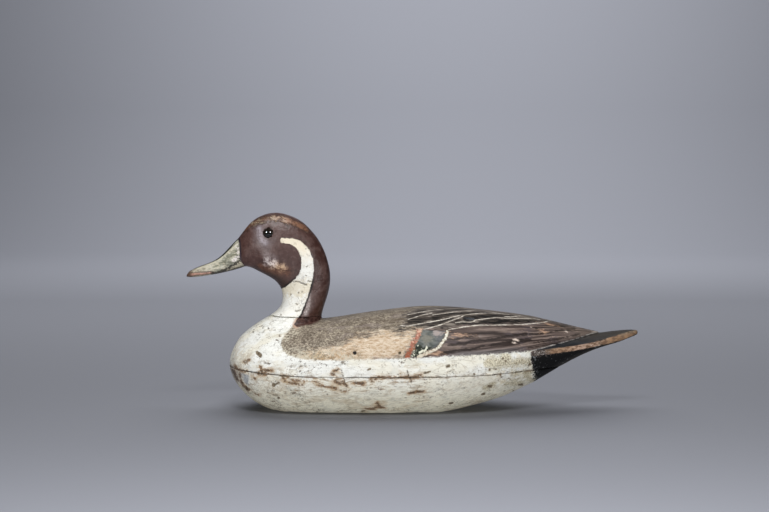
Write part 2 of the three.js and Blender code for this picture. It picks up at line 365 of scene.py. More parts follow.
# %% [markdown]
# ## Drawing the pattern
# A drake pintail in breeding dress is white below and in front, with a white
# stripe that climbs each side of the neck into the brown head. The back is
# grey-brown, the folded wing shows buff, an orange bar, a dark green patch
# and a white trailing edge, and black feathers with cream edges lie over the
# rump. Most of it is drawn from the side, as the carver would with a pencil:
# along the body, and up from the floor. The lines on the back are drawn from
# above, and are laid on the wood by dropping each point on it.

# %% Boundaries seen from the side: along the body and up, in millimetres
STRIPE_BACK = [
    (-129.5, 167), (-128, 169.3), (-120, 169.1), (-112, 167.4), (-107, 164), (-102, 158.6), (-98.5, 151.2),
    (-96.8, 143), (-97, 133.6), (-99, 124.8), (-101.5, 115), (-105, 105.4), (-108.5, 97), (-113.5, 89),
]
STRIPE_FRONT = [
    (-129, 118), (-124, 120.8), (-119, 125.4), (-114, 130), (-110.2, 136), (-109, 142.6), (-109.2, 149),
    (-111.4, 155.4), (-115, 160.4), (-120, 163), (-126, 164.2), (-129, 165.2),
]
SHOULDER_LINE = [
    (-119, 81.8), (-123.5, 77.2), (-126.6, 72.5), (-127, 68), (-125, 64), (-120, 60), (-112, 57.6),
]
FLANK_LINE = [
    (-104, 56.2), (-82, 55.9), (-61, 56.2), (-32, 57.2), (2, 58), (30, 59.4), (64, 59.6), (84, 60.3),
    (102, 61), (114.4, 61.6),
]
RUMP_LINE = [(114.4, 58), (114, 52.5), (116, 44.2), (117.4, 38.6), (119.2, 31), (121, 22)]
BAND_TOP = [
    (115.5, 60.9), (124, 61.6), (133, 62.3), (153, 63.8), (173, 66.4), (184, 68.4), (194, 71), (204, 73.6),
    (213, 75.8), (224, 77.6),
]
BAND_FOOT = [
    (115.5, 56.3), (130, 56.7), (143, 57.8), (163, 59.9), (184, 63.4), (204, 67.1), (214, 70.8),
    (224, 74.2),
]
WING_EDGE = [
    (115, 61.3), (123, 63), (133, 64.8), (144, 66.8), (154, 69), (164, 71.3), (174, 73.9), (182, 75.2),
    (184.5, 75.4),
]
BUFF_TOP = [
    (-111, 59.5), (-102, 63.8), (-90, 66.4), (-78, 68.4), (-68, 71.2), (-58, 75.6), (-46, 78.6),
    (-32, 80.8), (-13, 82.3), (7, 83.4),
]
BAR_FRONT = [(4, 83), (-1, 73.5), (-5, 66.3), (-9.5, 57.6)]
BAR_BACK = [(9, 83), (4.5, 73.4), (0.5, 66.3), (-3.5, 57.8)]
TRAILING_EDGE = [(33, 81.6), (31.4, 76.7), (28.6, 72.6), (23.4, 67), (16, 63.4), (5, 59.2)]
BILL_LINE = [
    (-174, 176), (-171.6, 169.4), (-169.8, 163), (-169.2, 156.8), (-169, 149), (-167.4, 144.6), (-165, 141),
    (-163, 136),
]
MOUTH_LINE = [(-168, 148.2), (-172, 144.8), (-177, 141.3), (-183, 138), (-189, 134.8)]
NAPE_FOOT = [
    (-109, 96), (-113.6, 89), (-115.4, 84.6), (-112, 83.4), (-105, 84.2), (-96, 86), (-90, 88.4), (-86, 92),
]

# %% Lines seen from above: along the body and out from its middle
FEATHER_LINES = [
    [(-5, 30.5), (3, 27.7), (11, 24.6), (19, 20.9), (30, 14)],
    [(-5, 40.6), (2, 37.7), (8.6, 33.3), (14.3, 31), (18.4, 28.7)],
    [(19, 33.1), (27, 29.8), (35.5, 25), (43, 19.9), (49.6, 16.3), (60, 10)],
    [(-12, 49.9), (-5, 51), (2.6, 49.4), (10.8, 47.2), (18.8, 45.1), (27, 41.8), (33.5, 38.4), (39.3, 33.9),
     (46, 29.3)],
    [(9.8, 55.2), (16.3, 53.1), (22.8, 50.5), (31, 45.9), (39, 39.5), (46, 33.4), (51, 26.9), (59, 21.6),
     (69.5, 16.2), (79, 11.4), (88.4, 10.6), (95, 9.4)],
    [(40.6, 43.7), (47.2, 40.5), (53.4, 39.2), (59.3, 36.4), (61.3, 33.5), (73.6, 27.7), (83, 23),
     (92.5, 21.2), (107, 15.7), (116.4, 11.8), (125.4, 9.3)],
    [(34, 52.9), (41.2, 50.3), (48.3, 46.9), (55, 44.3), (65, 40.2), (77, 37.3), (89, 33.3), (105.2, 27.4),
     (118, 21.6), (130, 13.3), (137, 1.7)],
    [(89.8, 18.3), (97.5, 14.8), (105.8, 8.7)],
]
BLACK_STROKES = [
    [(-5, 42.7), (-0.4, 40.3), (5.2, 37.1), (11, 36.8), (17.3, 38.9), (18, 41), (14, 43.6), (8, 44.5),
     (10, 46.5), (2.8, 48.1), (-4.2, 48.1), (-6, 46)],
    [(18.6, 36.5), (25.6, 32.8), (33, 29.2), (35.5, 26.4), (43, 24.7), (49.4, 22.2), (56, 18.3), (56, 21.7),
     (46, 26.4), (40.3, 28.8), (33.6, 34.5), (30.4, 35.7), (27, 39.4), (21.3, 42), (18.2, 42.2)],
    [(-8.3, 52.5), (-1.4, 51.8), (5, 50.6), (9.9, 49.3), (10.3, 50.7), (7.4, 52.4), (1.8, 54), (-4.2, 54),
     (-8.3, 53.8)],
    [(10.7, 48.6), (14, 47.4), (16.4, 47.7), (18.2, 49.4), (17, 50.7), (12.5, 50)],
    [(18.5, 47.5), (20.5, 45.7), (25.3, 44), (31, 40.6), (37.6, 36.5), (38.4, 37.6), (35, 40.6),
     (28.5, 45.5), (22.8, 49.2), (19.2, 49.5)],
    [(40.3, 40.6), (43.2, 37.6), (45.5, 37.2), (45.6, 38.8), (42.6, 40.8)],
    [(26.9, 52.7), (28, 51.8), (29.4, 52.6), (28, 53.5)],
    [(41, 45), (47.2, 41.8), (51, 40.7), (51.3, 42.3), (47, 44.7), (42.2, 46)],
    [(48.7, 35), (49.8, 31.2), (52.2, 27.2), (59.7, 25.2), (69.3, 20.9), (78.8, 16), (88.2, 14.7),
     (97.7, 11.4), (97.6, 13), (88, 17.9), (78.5, 23), (69, 28.9), (61.8, 31.2), (56.5, 36.8), (51.8, 38.2),
     (49.6, 37)],
    [(65, 35.9), (70.2, 31.5), (75.7, 28.6), (83, 26.5), (97, 21.4), (111.4, 16.7), (121, 14.6),
     (131.2, 8.3), (131, 11.4), (120.7, 17.9), (111, 23.3), (96.7, 28.8), (82.6, 34), (73.2, 36.5),
     (65, 38)],
    [(49.4, 40.7), (54.6, 40), (63, 38.4), (64.8, 38.6), (59, 40.8), (57.3, 42.9), (55, 43.3),
     (52.3, 41.4)],
    [(-5, 35.7), (-4.5, 33), (3, 30.7), (12, 28.4), (11.8, 30.4), (2.8, 34.7), (-2.8, 37.4)],
    [(2.2, 23.4), (8, 19.9), (13.7, 16.7), (11.2, 20.5), (5.4, 24.7)],
    [(23.3, 26), (30, 20.2), (37.4, 15.5), (50, 8.2), (43, 15.6), (35.7, 19.9), (27.3, 25.5)],
    [(41.2, 26.3), (50.6, 20.5), (64, 14.3), (64.8, 15.7), (50.5, 23.5), (42, 27.7)],
    [(-15.8, 54.2), (-12.6, 53), (-9.7, 53), (-10.7, 54.9), (-14.6, 55.6)],
]
SLATE_FEATHER = [
    (50.6, 34), (51.7, 32), (55, 30.4), (57.6, 31.3), (59.4, 32.5), (58.5, 34.8), (54.7, 36.5), (51.5, 37),
]
DARK_FEATHERS = [
    (-14, 55), (-1, 54), (11, 54), (33, 53), (48, 46), (65, 40), (85, 35), (108, 25), (125, 15), (138, 0),
    (90, 0), (40, 0), (12, 8), (-4, 20), (-9, 34), (-10, 47),
]

# %% Dark streaks of the flight feathers, from the side: a path, and half its width
FLIGHT_STREAKS = [
    ([(27.4, 61.4), (33.2, 62.7), (41, 64), (49.6, 64.9), (56.4, 65), (62.3, 66.5), (68, 67.7)], 1.3),
    ([(33.3, 69), (45, 70.5), (49.7, 70), (54.6, 72.2), (60.5, 72.7), (74, 73.2), (84, 74.4), (89, 75.6),
      (98.8, 76), (110, 77)], 1.1),
    ([(75, 67.5), (78, 68.9), (83.8, 69.5), (89.7, 70.6), (103.5, 71.3), (113.5, 71.4)], 1.5),
    ([(33.4, 74.4), (40, 74.3), (47, 75.9), (59.6, 76.4)], 0.8),
    ([(114, 76.8), (129, 76.9), (144, 78.5), (159.5, 78.9)], 0.9),
    ([(117.4, 68.5), (133.6, 69.8), (149, 71.9), (164, 74.5)], 1.0),
    ([(111.3, 64.2), (128.4, 65.5), (143.7, 67.4)], 0.8),
]


def from_the_side(places):
    return places[:, [0, 2]]


def from_above(places):
    return np.column_stack([places[:, 0], np.abs(places[:, 1])])


def laid_on(piece, line):
    """Drops a line drawn from above on a piece, on its far side."""
    tree = BVHTree.FromObject(piece, bpy.context.evaluated_depsgraph_get())
    dropped = []
    for x, y in line:
        hit = tree.ray_cast(Vector((x * MM, y * MM, 1.0)), Vector((0, 0, -1)))[0]
        dropped.append(np.array(hit) / MM)
    return np.array(dropped)


def marked(points, marks, reach=8):
    """How deep inside the nearest mark each point lies, in millimetres, and -reach far from all of them."""
    depth = np.full(len(points), -float(reach))
    for path, half_width in marks:
        line = np.array(path, float)
        near = np.all((points > line.min(axis=0) - reach) & (points < line.max(axis=0) + reach), axis=1)
        off = off_line(points[near], np.vstack([line, line[-1:]]))
        depth[near] = np.maximum(depth[near], half_width - off)
    return depth


def deepest(points, outlines, reach=8):
    """How deep inside the nearest of several outlines each point lies, and -reach far from all of them."""
    depth = np.full(len(points), -float(reach))
    for outline in outlines:
        near = np.all((points > outline.min(axis=0) - reach) & (points < outline.max(axis=0) + reach),
                      axis=1)
        depth[near] = np.maximum(depth[near], depth_inside(points[near], outline))
    return depth


# %% Paint distances on the upper block
side_white = flowing(STRIPE_BACK[-3:] + SHOULDER_LINE + FLANK_LINE)
WHITE_UPPER = np.vstack([side_white, flowing(RUMP_LINE),
                         [(121, -20), (-240, -20), (-240, 120), (-110, 120)]])
UNDERTAIL = np.vstack([flowing(BAND_FOOT), [(240, 60), (240, -20), (121, -20)], flowing(RUMP_LINE)[::-1]])
UPPER_OUTLINES = {
    "white": WHITE_UPPER,
    "buff": np.vstack([flowing(BUFF_TOP), flowing(BAR_FRONT), [(-108, 50)]]),
    "bar": np.vstack([flowing(BAR_FRONT), flowing(BAR_BACK)[::-1]]),
    "patch": np.vstack([flowing(BAR_BACK), flowing(TRAILING_EDGE)[::-1]]),
    "primaries": np.vstack([flowing(BAR_BACK), [(0, 40), (240, 40), (240, 120), (60, 120), (9, 84)]]),
    "nape": np.vstack([flowing(NAPE_FOOT), [(-86, 110), (-109, 110)]]),
    "tail_band": np.vstack([flowing(BAND_TOP), flowing(BAND_FOOT)[::-1]]),
    "tail_top": np.vstack([flowing(BAND_TOP), [(240, 100), (184.8, 100)], flowing(WING_EDGE)[::-1]]),
    "undertail": UNDERTAIL,
}
places = points_of(body_upper)
side, above, mirrored = from_the_side(places), from_above(places), folded(places)
for name, outline in UPPER_OUTLINES.items():
    keep_field(body_upper, name, depth_inside(side, outline))
for name, line in (("trailing_edge", TRAILING_EDGE), ("wing_edge", WING_EDGE)):
    keep_field(body_upper, name, off_line(side, flowing(line)))
for name, outline in (("tertials", DARK_FEATHERS), ("slate_feather", SLATE_FEATHER)):
    keep_field(body_upper, name, depth_inside(above, flowing(outline + outline[:1])))
lines = [laid_on(body_upper, flowing(line)) for line in FEATHER_LINES]
keep_field(body_upper, "feather_lines", np.min([off_line(mirrored, line) for line in lines], axis=0))
strokes = [flowing(stroke + stroke[:1], 3) for stroke in BLACK_STROKES]
keep_field(body_upper, "black_strokes", deepest(above, strokes))
keep_field(body_upper, "flight_streaks", marked(side, FLIGHT_STREAKS))
keep_field(body_upper, "off_seam", np.abs(places[:, 2] - seam_line(places[:, 0])))
print("upper block:", len(body_upper.data.attributes), "stored fields")

# %% Paint distances on the lower block and the head
places = points_of(body_lower)
keep_field(body_lower, "undertail", depth_inside(from_the_side(places), UNDERTAIL))
keep_field(body_lower, "off_seam", np.abs(places[:, 2] - seam_line(places[:, 0])))

CROWN_RIDGE = [
    (-164, 4, 177), (-160.5, 5.4, 180.4), (-156.4, 7.7, 183), (-152.4, 8.6, 185.3), (-149, 9.8, 186.3),
    (-144.5, 10.5, 187.3), (-139.6, 11, 188.2), (-133.7, 11, 188.5), (-128.8, 11, 188), (-124, 11, 186.5),
    (-118, 11, 184.2), (-113.2, 10.2, 182.5), (-108, 8.6, 180), (-104.5, 7.5, 177.6),
]
# Paths of painted highlights: beside each eye, on the cheek and down the nape.
BROW_SHEEN = [
    (-150, 15, 178), (-149.3, 17, 173.8), (-148.6, 18.3, 170), (-147, 19.2, 167), (-144, 20.3, 164.8),
]
CHEEK_SHEEN = [(-143, 21.2, 153.6), (-139.2, 21.3, 151.7), (-135.3, 21, 148.7)]
NAPE_SHEEN = [(-101.6, 16.6, 114), (-102, 17.4, 106.3), (-102.8, 18.8, 101), (-105, 19.8, 95)]
# The white and gold cheek marks are painted highlights, the gold one on rubbed wood; the last mark is
# painted shade under the cheek.
CHEEK_MARKS = {
    "cheek_white_highlight": [([(-142, 145.8), (-139, 144.8), (-136.5, 144.2)], 0.9)],
    "cheek_gold_highlight": [([(-136.4, 143.2), (-132.5, 141.8), (-129.6, 140.8), (-127, 140)], 1.3)],
    "cheek_copper": [([(-148, 140), (-141.6, 137.5), (-134.6, 136.5), (-127.7, 136.7), (-122, 136)], 3)],
    "chin_shade": [([(-152, 138), (-145, 135), (-138, 131), (-130, 125.5), (-124, 122)], 4)],
}
NECK_MARKS = [
    ([(-116.8, 126), (-112.4, 126.4), (-108.7, 124.8), (-103.4, 122.9)], 0.7),
    ([(-102, 126.8), (-99, 126.2)], 0.7), ([(-111.9, 115.4)], 1), ([(-108.3, 116.4)], 0.9),
    ([(-119.2, 113.3)], 0.8), ([(-104.3, 132.2)], 0.8), ([(-114.2, 104.3), (-112.2, 103.6)], 0.5),
    ([(-118.4, 102)], 0.6), ([(-103.4, 141)], 0.7), ([(-114.6, 97.6), (-109.7, 98.6)], 0.9),
    ([(-104.4, 158.2)], 0.7), ([(-129, 93.5)], 0.7),
]
BILL_CHALK = [
    ([(-172.7, 160.4), (-171.4, 158.6), (-170.8, 154.3)], 0.9),
    ([(-176, 146.5), (-173, 149), (-170.7, 149.8)], 1.1),
]
CULMEN = [
    (-171, 0, 169), (-177.8, 0, 161.8), (-186, 0, 153), (-194.5, 0, 146), (-204.5, 0, 141.7),
    (-213.6, 0, 138.5), (-221, 0, 134),
]
# The line of the painted shadow under the bill, from the side.
BILL_UNDERSIDE = [(-196, 133.8), (-188, 134.2), (-181, 135.4), (-174, 137.2), (-168, 138.8), (-163, 139.6)]
places = points_of(head)
side, mirrored = from_the_side(places), folded(places)
HEAD_OUTLINES = {
    "white": [flowing(STRIPE_BACK), [(-113.5, 60), (-200, 60), (-200, 105), (-135, 115)],
              flowing(STRIPE_FRONT)],
    "bill": [flowing(BILL_LINE), [(-240, 120), (-240, 176)]],
    "jaw": [flowing(MOUTH_LINE), [(-189, 125), (-160, 125), (-160, 148)]],
}
for name, parts in HEAD_OUTLINES.items():
    keep_field(head, name, depth_inside(side, np.vstack(parts)))
for name, path in (("mouth", MOUTH_LINE), ("bill_underside", BILL_UNDERSIDE)):
    keep_field(head, name, off_line(side, flowing(path)))
for name, marks in CHEEK_MARKS.items():
    keep_field(head, name, marked(side, marks, 20))
keep_field(head, "neck_marks", marked(side, NECK_MARKS))
keep_field(head, "bill_chalk", marked(side, BILL_CHALK))
BOTH_SIDES = {
    "crown_ridge": CROWN_RIDGE, "culmen": CULMEN, "bill_ridge": BILL_RIDGE, "bill_hollow": BILL_HOLLOW,
    "bill_rim": BILL_RIM, "brow_sheen": BROW_SHEEN, "cheek_sheen": CHEEK_SHEEN, "nape_sheen": NAPE_SHEEN,
}
for name, path in BOTH_SIDES.items():
    keep_field(head, name, off_line(mirrored, flowing(path)))
keep_field(head, "eye_socket", off_eye(places))
print("head:", len(head.data.attributes), "stored fields")

# %% [markdown]
# ## Arithmetic for finishes
# A finish is a web of nodes, and long webs are hard to read. This small class
# holds one wire of such a web and answers to the usual signs, so that a mask
# can be written as 1 - worn * rough. Each sign adds the Math node that it
# stands for. Places and distances are in millimetres here too: a mask that
# rises from -0.4 to 0.6 turns over within a millimetre at its line, and noise
# that is centred on zero and multiplied by 3 frays the line by about as much.

# %% A wire that can be added and multiplied
class Wire:
    """One output of a node, used like a number."""

    def __init__(self, finish, socket):
        self.finish = finish
        self.socket = socket

    def math(self, operation, first, second):
        return self.finish.node("ShaderNodeMath", {"operation": operation}, {0: first, 1: second})

    def __add__(self, other):
        return self.math("ADD", self, other)

    def __sub__(self, other):
        return self.math("SUBTRACT", self, other)

    def __rsub__(self, other):
        return self.math("SUBTRACT", other, self)

    def __mul__(self, other):
        return self.math("MULTIPLY", self, other)

    def __truediv__(self, other):
        return self.math("DIVIDE", self, other)

    def most(self, other):
        return self.math("MAXIMUM", self, other)

    def size(self):
        return self.math("ABSOLUTE", self, 0)

    def rise(self, start, end):
        """0 below start, 1 above end, and a soft step between; end may be below start."""
        settings = {"interpolation_type": "SMOOTHSTEP"}
        return self.finish.node("ShaderNodeMapRange", settings,
                                {"Value": self, "From Min": start, "From Max": end})

    __radd__ = __add__
    __rmul__ = __mul__


# %% A coat of paint
class Coat:
    """Paint as it lies on the wood: its colour, its roughness, and its relief in millimetres."""

    def __init__(self, finish, colour, roughness, relief):
        self.finish = finish
        self.colour = colour
        self.roughness = roughness
        self.relief = relief

    def stain(self, mask, colour):
        """Tints the coat where the mask is 1, and leaves its gloss and relief."""
        self.colour = self.finish.mix(mask, self.colour, colour)

    def lay(self, mask, over):
        """Covers the coat with another one where the mask is 1."""
        self.stain(mask, over.colour)
        self.roughness = self.roughness + mask * (over.roughness - self.roughness)
        self.relief = self.relief + mask * (over.relief - self.relief)


# %% A finish
class Finish:
    """One material, with short ways to add its nodes."""

    def __init__(self, name):
        self.material = bpy.data.materials.new(name)
        self.material.use_nodes = True
        self.tree = self.material.node_tree
        self.shader = self.tree.nodes["Principled BSDF"]
        self.place = self.node("ShaderNodeTexCoord", output="Object")
        self.along, self.across, self.up = (
            self.node("ShaderNodeSeparateXYZ", feeds={0: self.place}, output=axis) / MM for axis in range(3))

    def node(self, kind, settings=None, feeds=None, output=0):
        made = self.tree.nodes.new(kind)
        for name, value in (settings or {}).items():
            setattr(made, name, value)
        for name, value in (feeds or {}).items():
            self.plug(made.inputs[name], value)
        return Wire(self, made.outputs[output])

    def plug(self, socket, value):
        if isinstance(value, Wire):
            self.tree.links.new(value.socket, socket)
        elif socket.type == "RGBA":
            socket.default_value = (*value, 1.0)
        else:
            socket.default_value = value

    def field(self, name):
        """Reads a number that is stored on the mesh."""
        return self.node("ShaderNodeAttribute", {"attribute_name": name}, output="Fac")

    def scaled(self, size, stretch, seed, turn=0):
        """The place in steps of size millimetres, longer along the body, or each way, by the stretch."""
        if not isinstance(stretch, tuple):
            stretch = (stretch, 1, 1)
        scale = tuple(1 / (size * MM * length) for length in stretch)
        feeds = {"Vector": self.place, "Scale": scale, "Location": (seed, seed * 0.7, 0),
                 "Rotation": (0, turn, 0)}
        return self.node("ShaderNodeMapping", feeds=feeds)

    def noise_at(self, vector, detail, rough):
        feeds = {"Vector": vector, "Scale": 1.0, "Detail": detail, "Roughness": rough}
        return self.node("ShaderNodeTexNoise", feeds=feeds)

    def clouds(self, size, stretch=1, detail=3, seed=0, rough=0.5, turn=0):
        """Noise from 0 to 1, mostly near 0.5, in patches of about size millimetres."""
        return self.noise_at(self.scaled(size, stretch, seed, turn), detail, rough)

    def chips(self, size, share, seed, stretch=1, turn=0):
        """Torn specks in loose clusters, 1 inside; a share near 0.3 is sparse, and near 0.5 covers half."""
        torn = self.clouds(size, stretch, 5, seed, 0.7, turn)
        herd = self.clouds(size * 6, detail=2, seed=seed + 1)
        return (torn + (herd - 0.5) * 0.5).rise(1 - share, 1.035 - share)

    def cracks(self, size, width, seed, stretch=1):
        """A net of thin lines round cells of size millimetres; width is a share of that."""
        wander = self.node("ShaderNodeTexNoise",
                           feeds={"Vector": self.scaled(size, stretch, seed), "Scale": 1.5}, output=1)
        feeds = {0: wander, 1: (0.9, 0.9, 0.9), 2: self.scaled(size, stretch, seed)}
        bent = self.node("ShaderNodeVectorMath", {"operation": "MULTIPLY_ADD"}, feeds)
        edge = self.node("ShaderNodeTexVoronoi", {"feature": "DISTANCE_TO_EDGE"},
                         {"Vector": bent, "Scale": 1.0})
        return edge.rise(width, width * 0.3)

    def mix(self, mask, under, over):
        """One colour over another where the mask is 1."""
        feeds = {0: mask, 6: under, 7: over}
        return self.node("ShaderNodeMix", {"data_type": "RGBA"}, feeds, output=2)

    def tint(self, mask, *colours):
        """A colour that runs through several as the mask goes from 0 to 1."""
        colour = colours[0]
        for step, over in enumerate(colours[1:]):
            share = mask * (len(colours) - 1) - step
            colour = self.mix(share.rise(0, 1), colour, over)
        return colour

    def set_shader(self, values):
        for name, value in values.items():
            self.plug(self.shader.inputs[name], value)

    def finish_with(self, coat, shine=0.5):
        """Connects the last coat to the shader."""
        bump = self.node("ShaderNodeBump", feeds={"Strength": 1.0, "Distance": MM, "Height": coat.relief})
        self.set_shader({"Base Color": coat.colour, "Roughness": coat.roughness, "Normal": bump,
                         "Specular IOR Level": shine})
        return self.material


# %% [markdown]
# ## White paint that has seen water
# The white is old oil paint: warm where it is thick, greyer and yellower low
# on the hull where it has been wet, and rubbed thin in long strokes along the
# grain. Where a flake has gone the brown wood shows, with a darker rim. The
# same coat is used on the body and on the neck. It is worked out from the
# place in the decoy's own frame, so it runs unbroken across the joints.
# Colours are red, green and blue shares of the light that the paint gives back.

# %% The white coat
WHITE_COOL = (0.86, 0.865, 0.82)
WHITE_WARM = (0.83, 0.805, 0.70)
WHITE_LOW = (0.83, 0.795, 0.64)
CREAM_STAIN = (0.66, 0.55, 0.36)
DIRT_GREY = (0.36, 0.34, 0.28)
SPECK_BROWN = (0.12, 0.088, 0.06)
HULL_SHINE = 0.22
FEATHER_SHINE = 0.25
WET_HEIGHT = 44  # mm above the floor, below which the white has yellowed


def white_coat(finish):
    mottle = finish.clouds(20, 2.0, 5, 11, 0.6)
    fine = finish.clouds(2.6, 2.2, 5, 12, 0.65)
    strokes = finish.clouds(1.3, 14, 4, 13, 0.6)
    low = (finish.up + (mottle - 0.5) * 34).rise(WET_HEIGHT, 8)
    colour = finish.mix(mottle.rise(0.43, 0.6), WHITE_COOL, WHITE_WARM)
    coat = Coat(finish, colour, 0.40 + fine * 0.22, fine * 0.16 + strokes * 0.12)
    coat.stain(low * 0.92, WHITE_LOW)
    coat.stain(fine.rise(0.46, 0.68) * (0.2 + low * 0.35), DIRT_GREY)
    rubbed = strokes.rise(0.54, 0.68) * (0.2 + low * 0.5)
    coat.stain(rubbed, (0.37, 0.31, 0.21))
    cream = finish.clouds(8, 1.6, 5, 15, 0.65).rise(0.52, 0.64)
    rump = (finish.along + (mottle - 0.5) * 50).rise(66, 92)
    coat.stain(cream * (mottle.rise(0.44, 0.6) * (0.1 + low * 0.4) + rump * 0.5), CREAM_STAIN)
    damp = finish.clouds(9, 1.5, 5, 14, 0.7).rise(0.53, 0.64)
    coat.stain(damp * 0.3, (0.50, 0.51, 0.46))
    crazed = finish.cracks(8, 0.05, 16, 2.2) * finish.clouds(26, detail=3, seed=17).rise(0.47, 0.58)
    coat.stain(crazed * 0.3, (0.30, 0.25, 0.18))
    smears = finish.chips(5, 0.42, 18, 3.0)
    coat.stain(smears * 0.35, (0.42, 0.32, 0.20))
    specks = finish.chips(2.4, 0.36, 19, 1.4).most(finish.chips(2.2, 0.34, 20, (0.6, 1, 1.5), 0.6))
    coat.stain(specks * 0.7, SPECK_BROWN)
    coat.stain(finish.chips(1.3, 0.375, 24, 1.3) * 0.55, (0.20, 0.14, 0.09))
    coat.relief = coat.relief - crazed * 0.12 - specks * 0.2 - rubbed * 0.06
    return coat


def flake_off(coat, mask, bare):
    """Bares the wood, with a thin dark rim, where the mask rises above zero; it is in millimetres."""
    coat.stain(mask.rise(-0.7, 0) * 0.6, (0.20, 0.155, 0.10))
    gone = mask.rise(-0.1, 0.25)
    coat.stain(gone, bare)
    coat.roughness = coat.roughness + gone * 0.2
    coat.relief = coat.relief - gone * 0.3


print("white coat ready")

# %% Marks on the near side: a path along and up, and half its width, in millimetres
BARE_SPOTS = [
    ([(-150, 60), (-147.2, 58.2)], 1.7), ([(-133.7, 30.8)], 1.7), ([(-131.2, 32), (-129, 33.4)], 0.8),
    ([(-129.6, 17.5)], 1.2), ([(32.2, 49.4), (34, 49.9)], 1.5), ([(58.5, 41.4)], 1.2),
    ([(73.4, 27.9), (75.2, 28.2)], 1.4), ([(67.2, 20), (68.6, 20.3)], 1.1),
    ([(35.7, 11.4), (37.6, 11.7)], 1.2), ([(103.7, 26), (107, 26)], 1.1), ([(73.3, 45.4)], 0.9),
    ([(79.2, 45.6)], 0.8), ([(89, 53)], 0.9), ([(86.5, 55.5)], 0.8), ([(90.6, 42)], 0.9),
    ([(84.2, 39.9)], 1), ([(92.3, 35)], 0.9), ([(89, 21.2)], 0.9), ([(98.3, 19)], 1), ([(113, 48)], 1.4),
    ([(-49.5, 3.5), (-47.4, 4.3)], 0.9), ([(-43.3, 47), (-41, 48.3)], 0.8),
    ([(10.6, 43.4), (16.4, 44.8)], 0.7),
]
RUST_STAINS = [
    ([(-158.7, 53.4)], 1), ([(-162.5, 50.6), (-161, 51.5)], 1.3), ([(-172.7, 45.3), (-172, 43.6)], 1.2),
    ([(-146.6, 47.6)], 1), ([(-146.3, 45.3), (-145.3, 43.4)], 1), ([(-142.4, 44.5), (-136, 45)], 1.2),
    ([(-172, 42.8), (-166.6, 42.4), (-159.3, 41.7)], 1), ([(-155.3, 41), (-148.8, 41)], 0.7),
    ([(-145.3, 40.8), (-138, 41)], 0.9), ([(-152.7, 36.2)], 1),
    ([(-175.5, 39.5), (-173.8, 37), (-171.3, 32.3)], 2),
    ([(-168.3, 39.2), (-167.4, 33.3), (-165, 27.3), (-160.6, 22.7)], 1),
    ([(-162, 24.7), (-159.5, 22.7)], 1.5), ([(-153, 19.6), (-149.4, 19.4)], 1),
    ([(-124.8, 38), (-123, 35.4)], 0.7), ([(-120, 38.7), (-117, 37), (-114, 35)], 0.7),
    ([(-114.2, 36), (-108, 36)], 0.7), ([(-105, 36.7), (-104.6, 34.3)], 0.9),
    ([(-119, 33.8), (-112.3, 33), (-106, 31.5)], 0.8), ([(-35.7, 39.2), (-31, 41.5)], 0.6),
    ([(-30, 40.3), (-21.4, 39.6)], 1.2), ([(-19.5, 39.6), (-9, 39.7)], 0.8),
    ([(-9, 39.7), (1.6, 40), (7.3, 41.6)], 1.2), ([(-12.8, 43.4), (-11, 42.5)], 0.7),
    ([(-75.8, 45.3), (-72, 47.3)], 0.6), ([(-78.6, 43.4), (-75.3, 42.2)], 0.6),
    ([(-40.5, 39), (-36.8, 39.5)], 0.6), ([(-40.3, 38.2), (-39.3, 34.3)], 0.7),
    ([(-36.4, 38.7), (-38, 34.8)], 0.6), ([(-55.3, 34.8), (-48.6, 33.5)], 1.5),
    ([(-74.8, 35.7), (-70, 33.8)], 1.4), ([(-68.2, 35.2), (-63.4, 31.3)], 1.2),
    ([(-90, 32.8), (-84.4, 30.8), (-75.5, 29.4), (-73, 28)], 0.7),
    ([(-70, 27), (-64.7, 26), (-60.5, 27.5)], 0.7), ([(-94.7, 35.4), (-90.7, 35.2)], 0.8),
    ([(-37, 8.4), (-28.4, 9)], 1.2), ([(-34.8, 13), (-32, 10)], 1.5), ([(-45.4, 6.8), (-37.7, 6.8)], 1.2),
    ([(-3.2, 24), (2.6, 25), (9.3, 26)], 1.2),
]
TAN_STAINS = [
    ([(-76.8, 34.4), (-63.4, 32.8)], 3.8), ([(-63.4, 34.3), (-47.6, 34.3)], 2.5),
    ([(-95, 35), (-83.5, 31), (-72, 28.3)], 2), ([(-38.4, 37.2)], 2.9), ([(-3.6, 23.7), (9.8, 25.8)], 1.9),
    ([(-36.7, 11.3), (-29, 12)], 3.8), ([(-49.3, 6.5), (-35.8, 7)], 2),
    ([(-145.3, 44.4), (-135.5, 45)], 2.3), ([(-125.8, 35), (-104.6, 34.3)], 3),
    ([(-155.3, 37.7), (-143.4, 37.7)], 2.5), ([(-10, 40), (8.3, 41)], 1.9),
    ([(-74.8, 45.8), (-71, 44)], 2.9),
]
GRIME = [
    ([(74, 51), (82, 51.5), (90, 54)], 6), ([(92, 50), (112, 51)], 4), ([(96, 40.5), (113, 39.5)], 3.2),
    ([(70, 27), (78, 30)], 3), ([(92, 30), (104, 30)], 3.5), ([(110, 36), (117, 30)], 3),
]
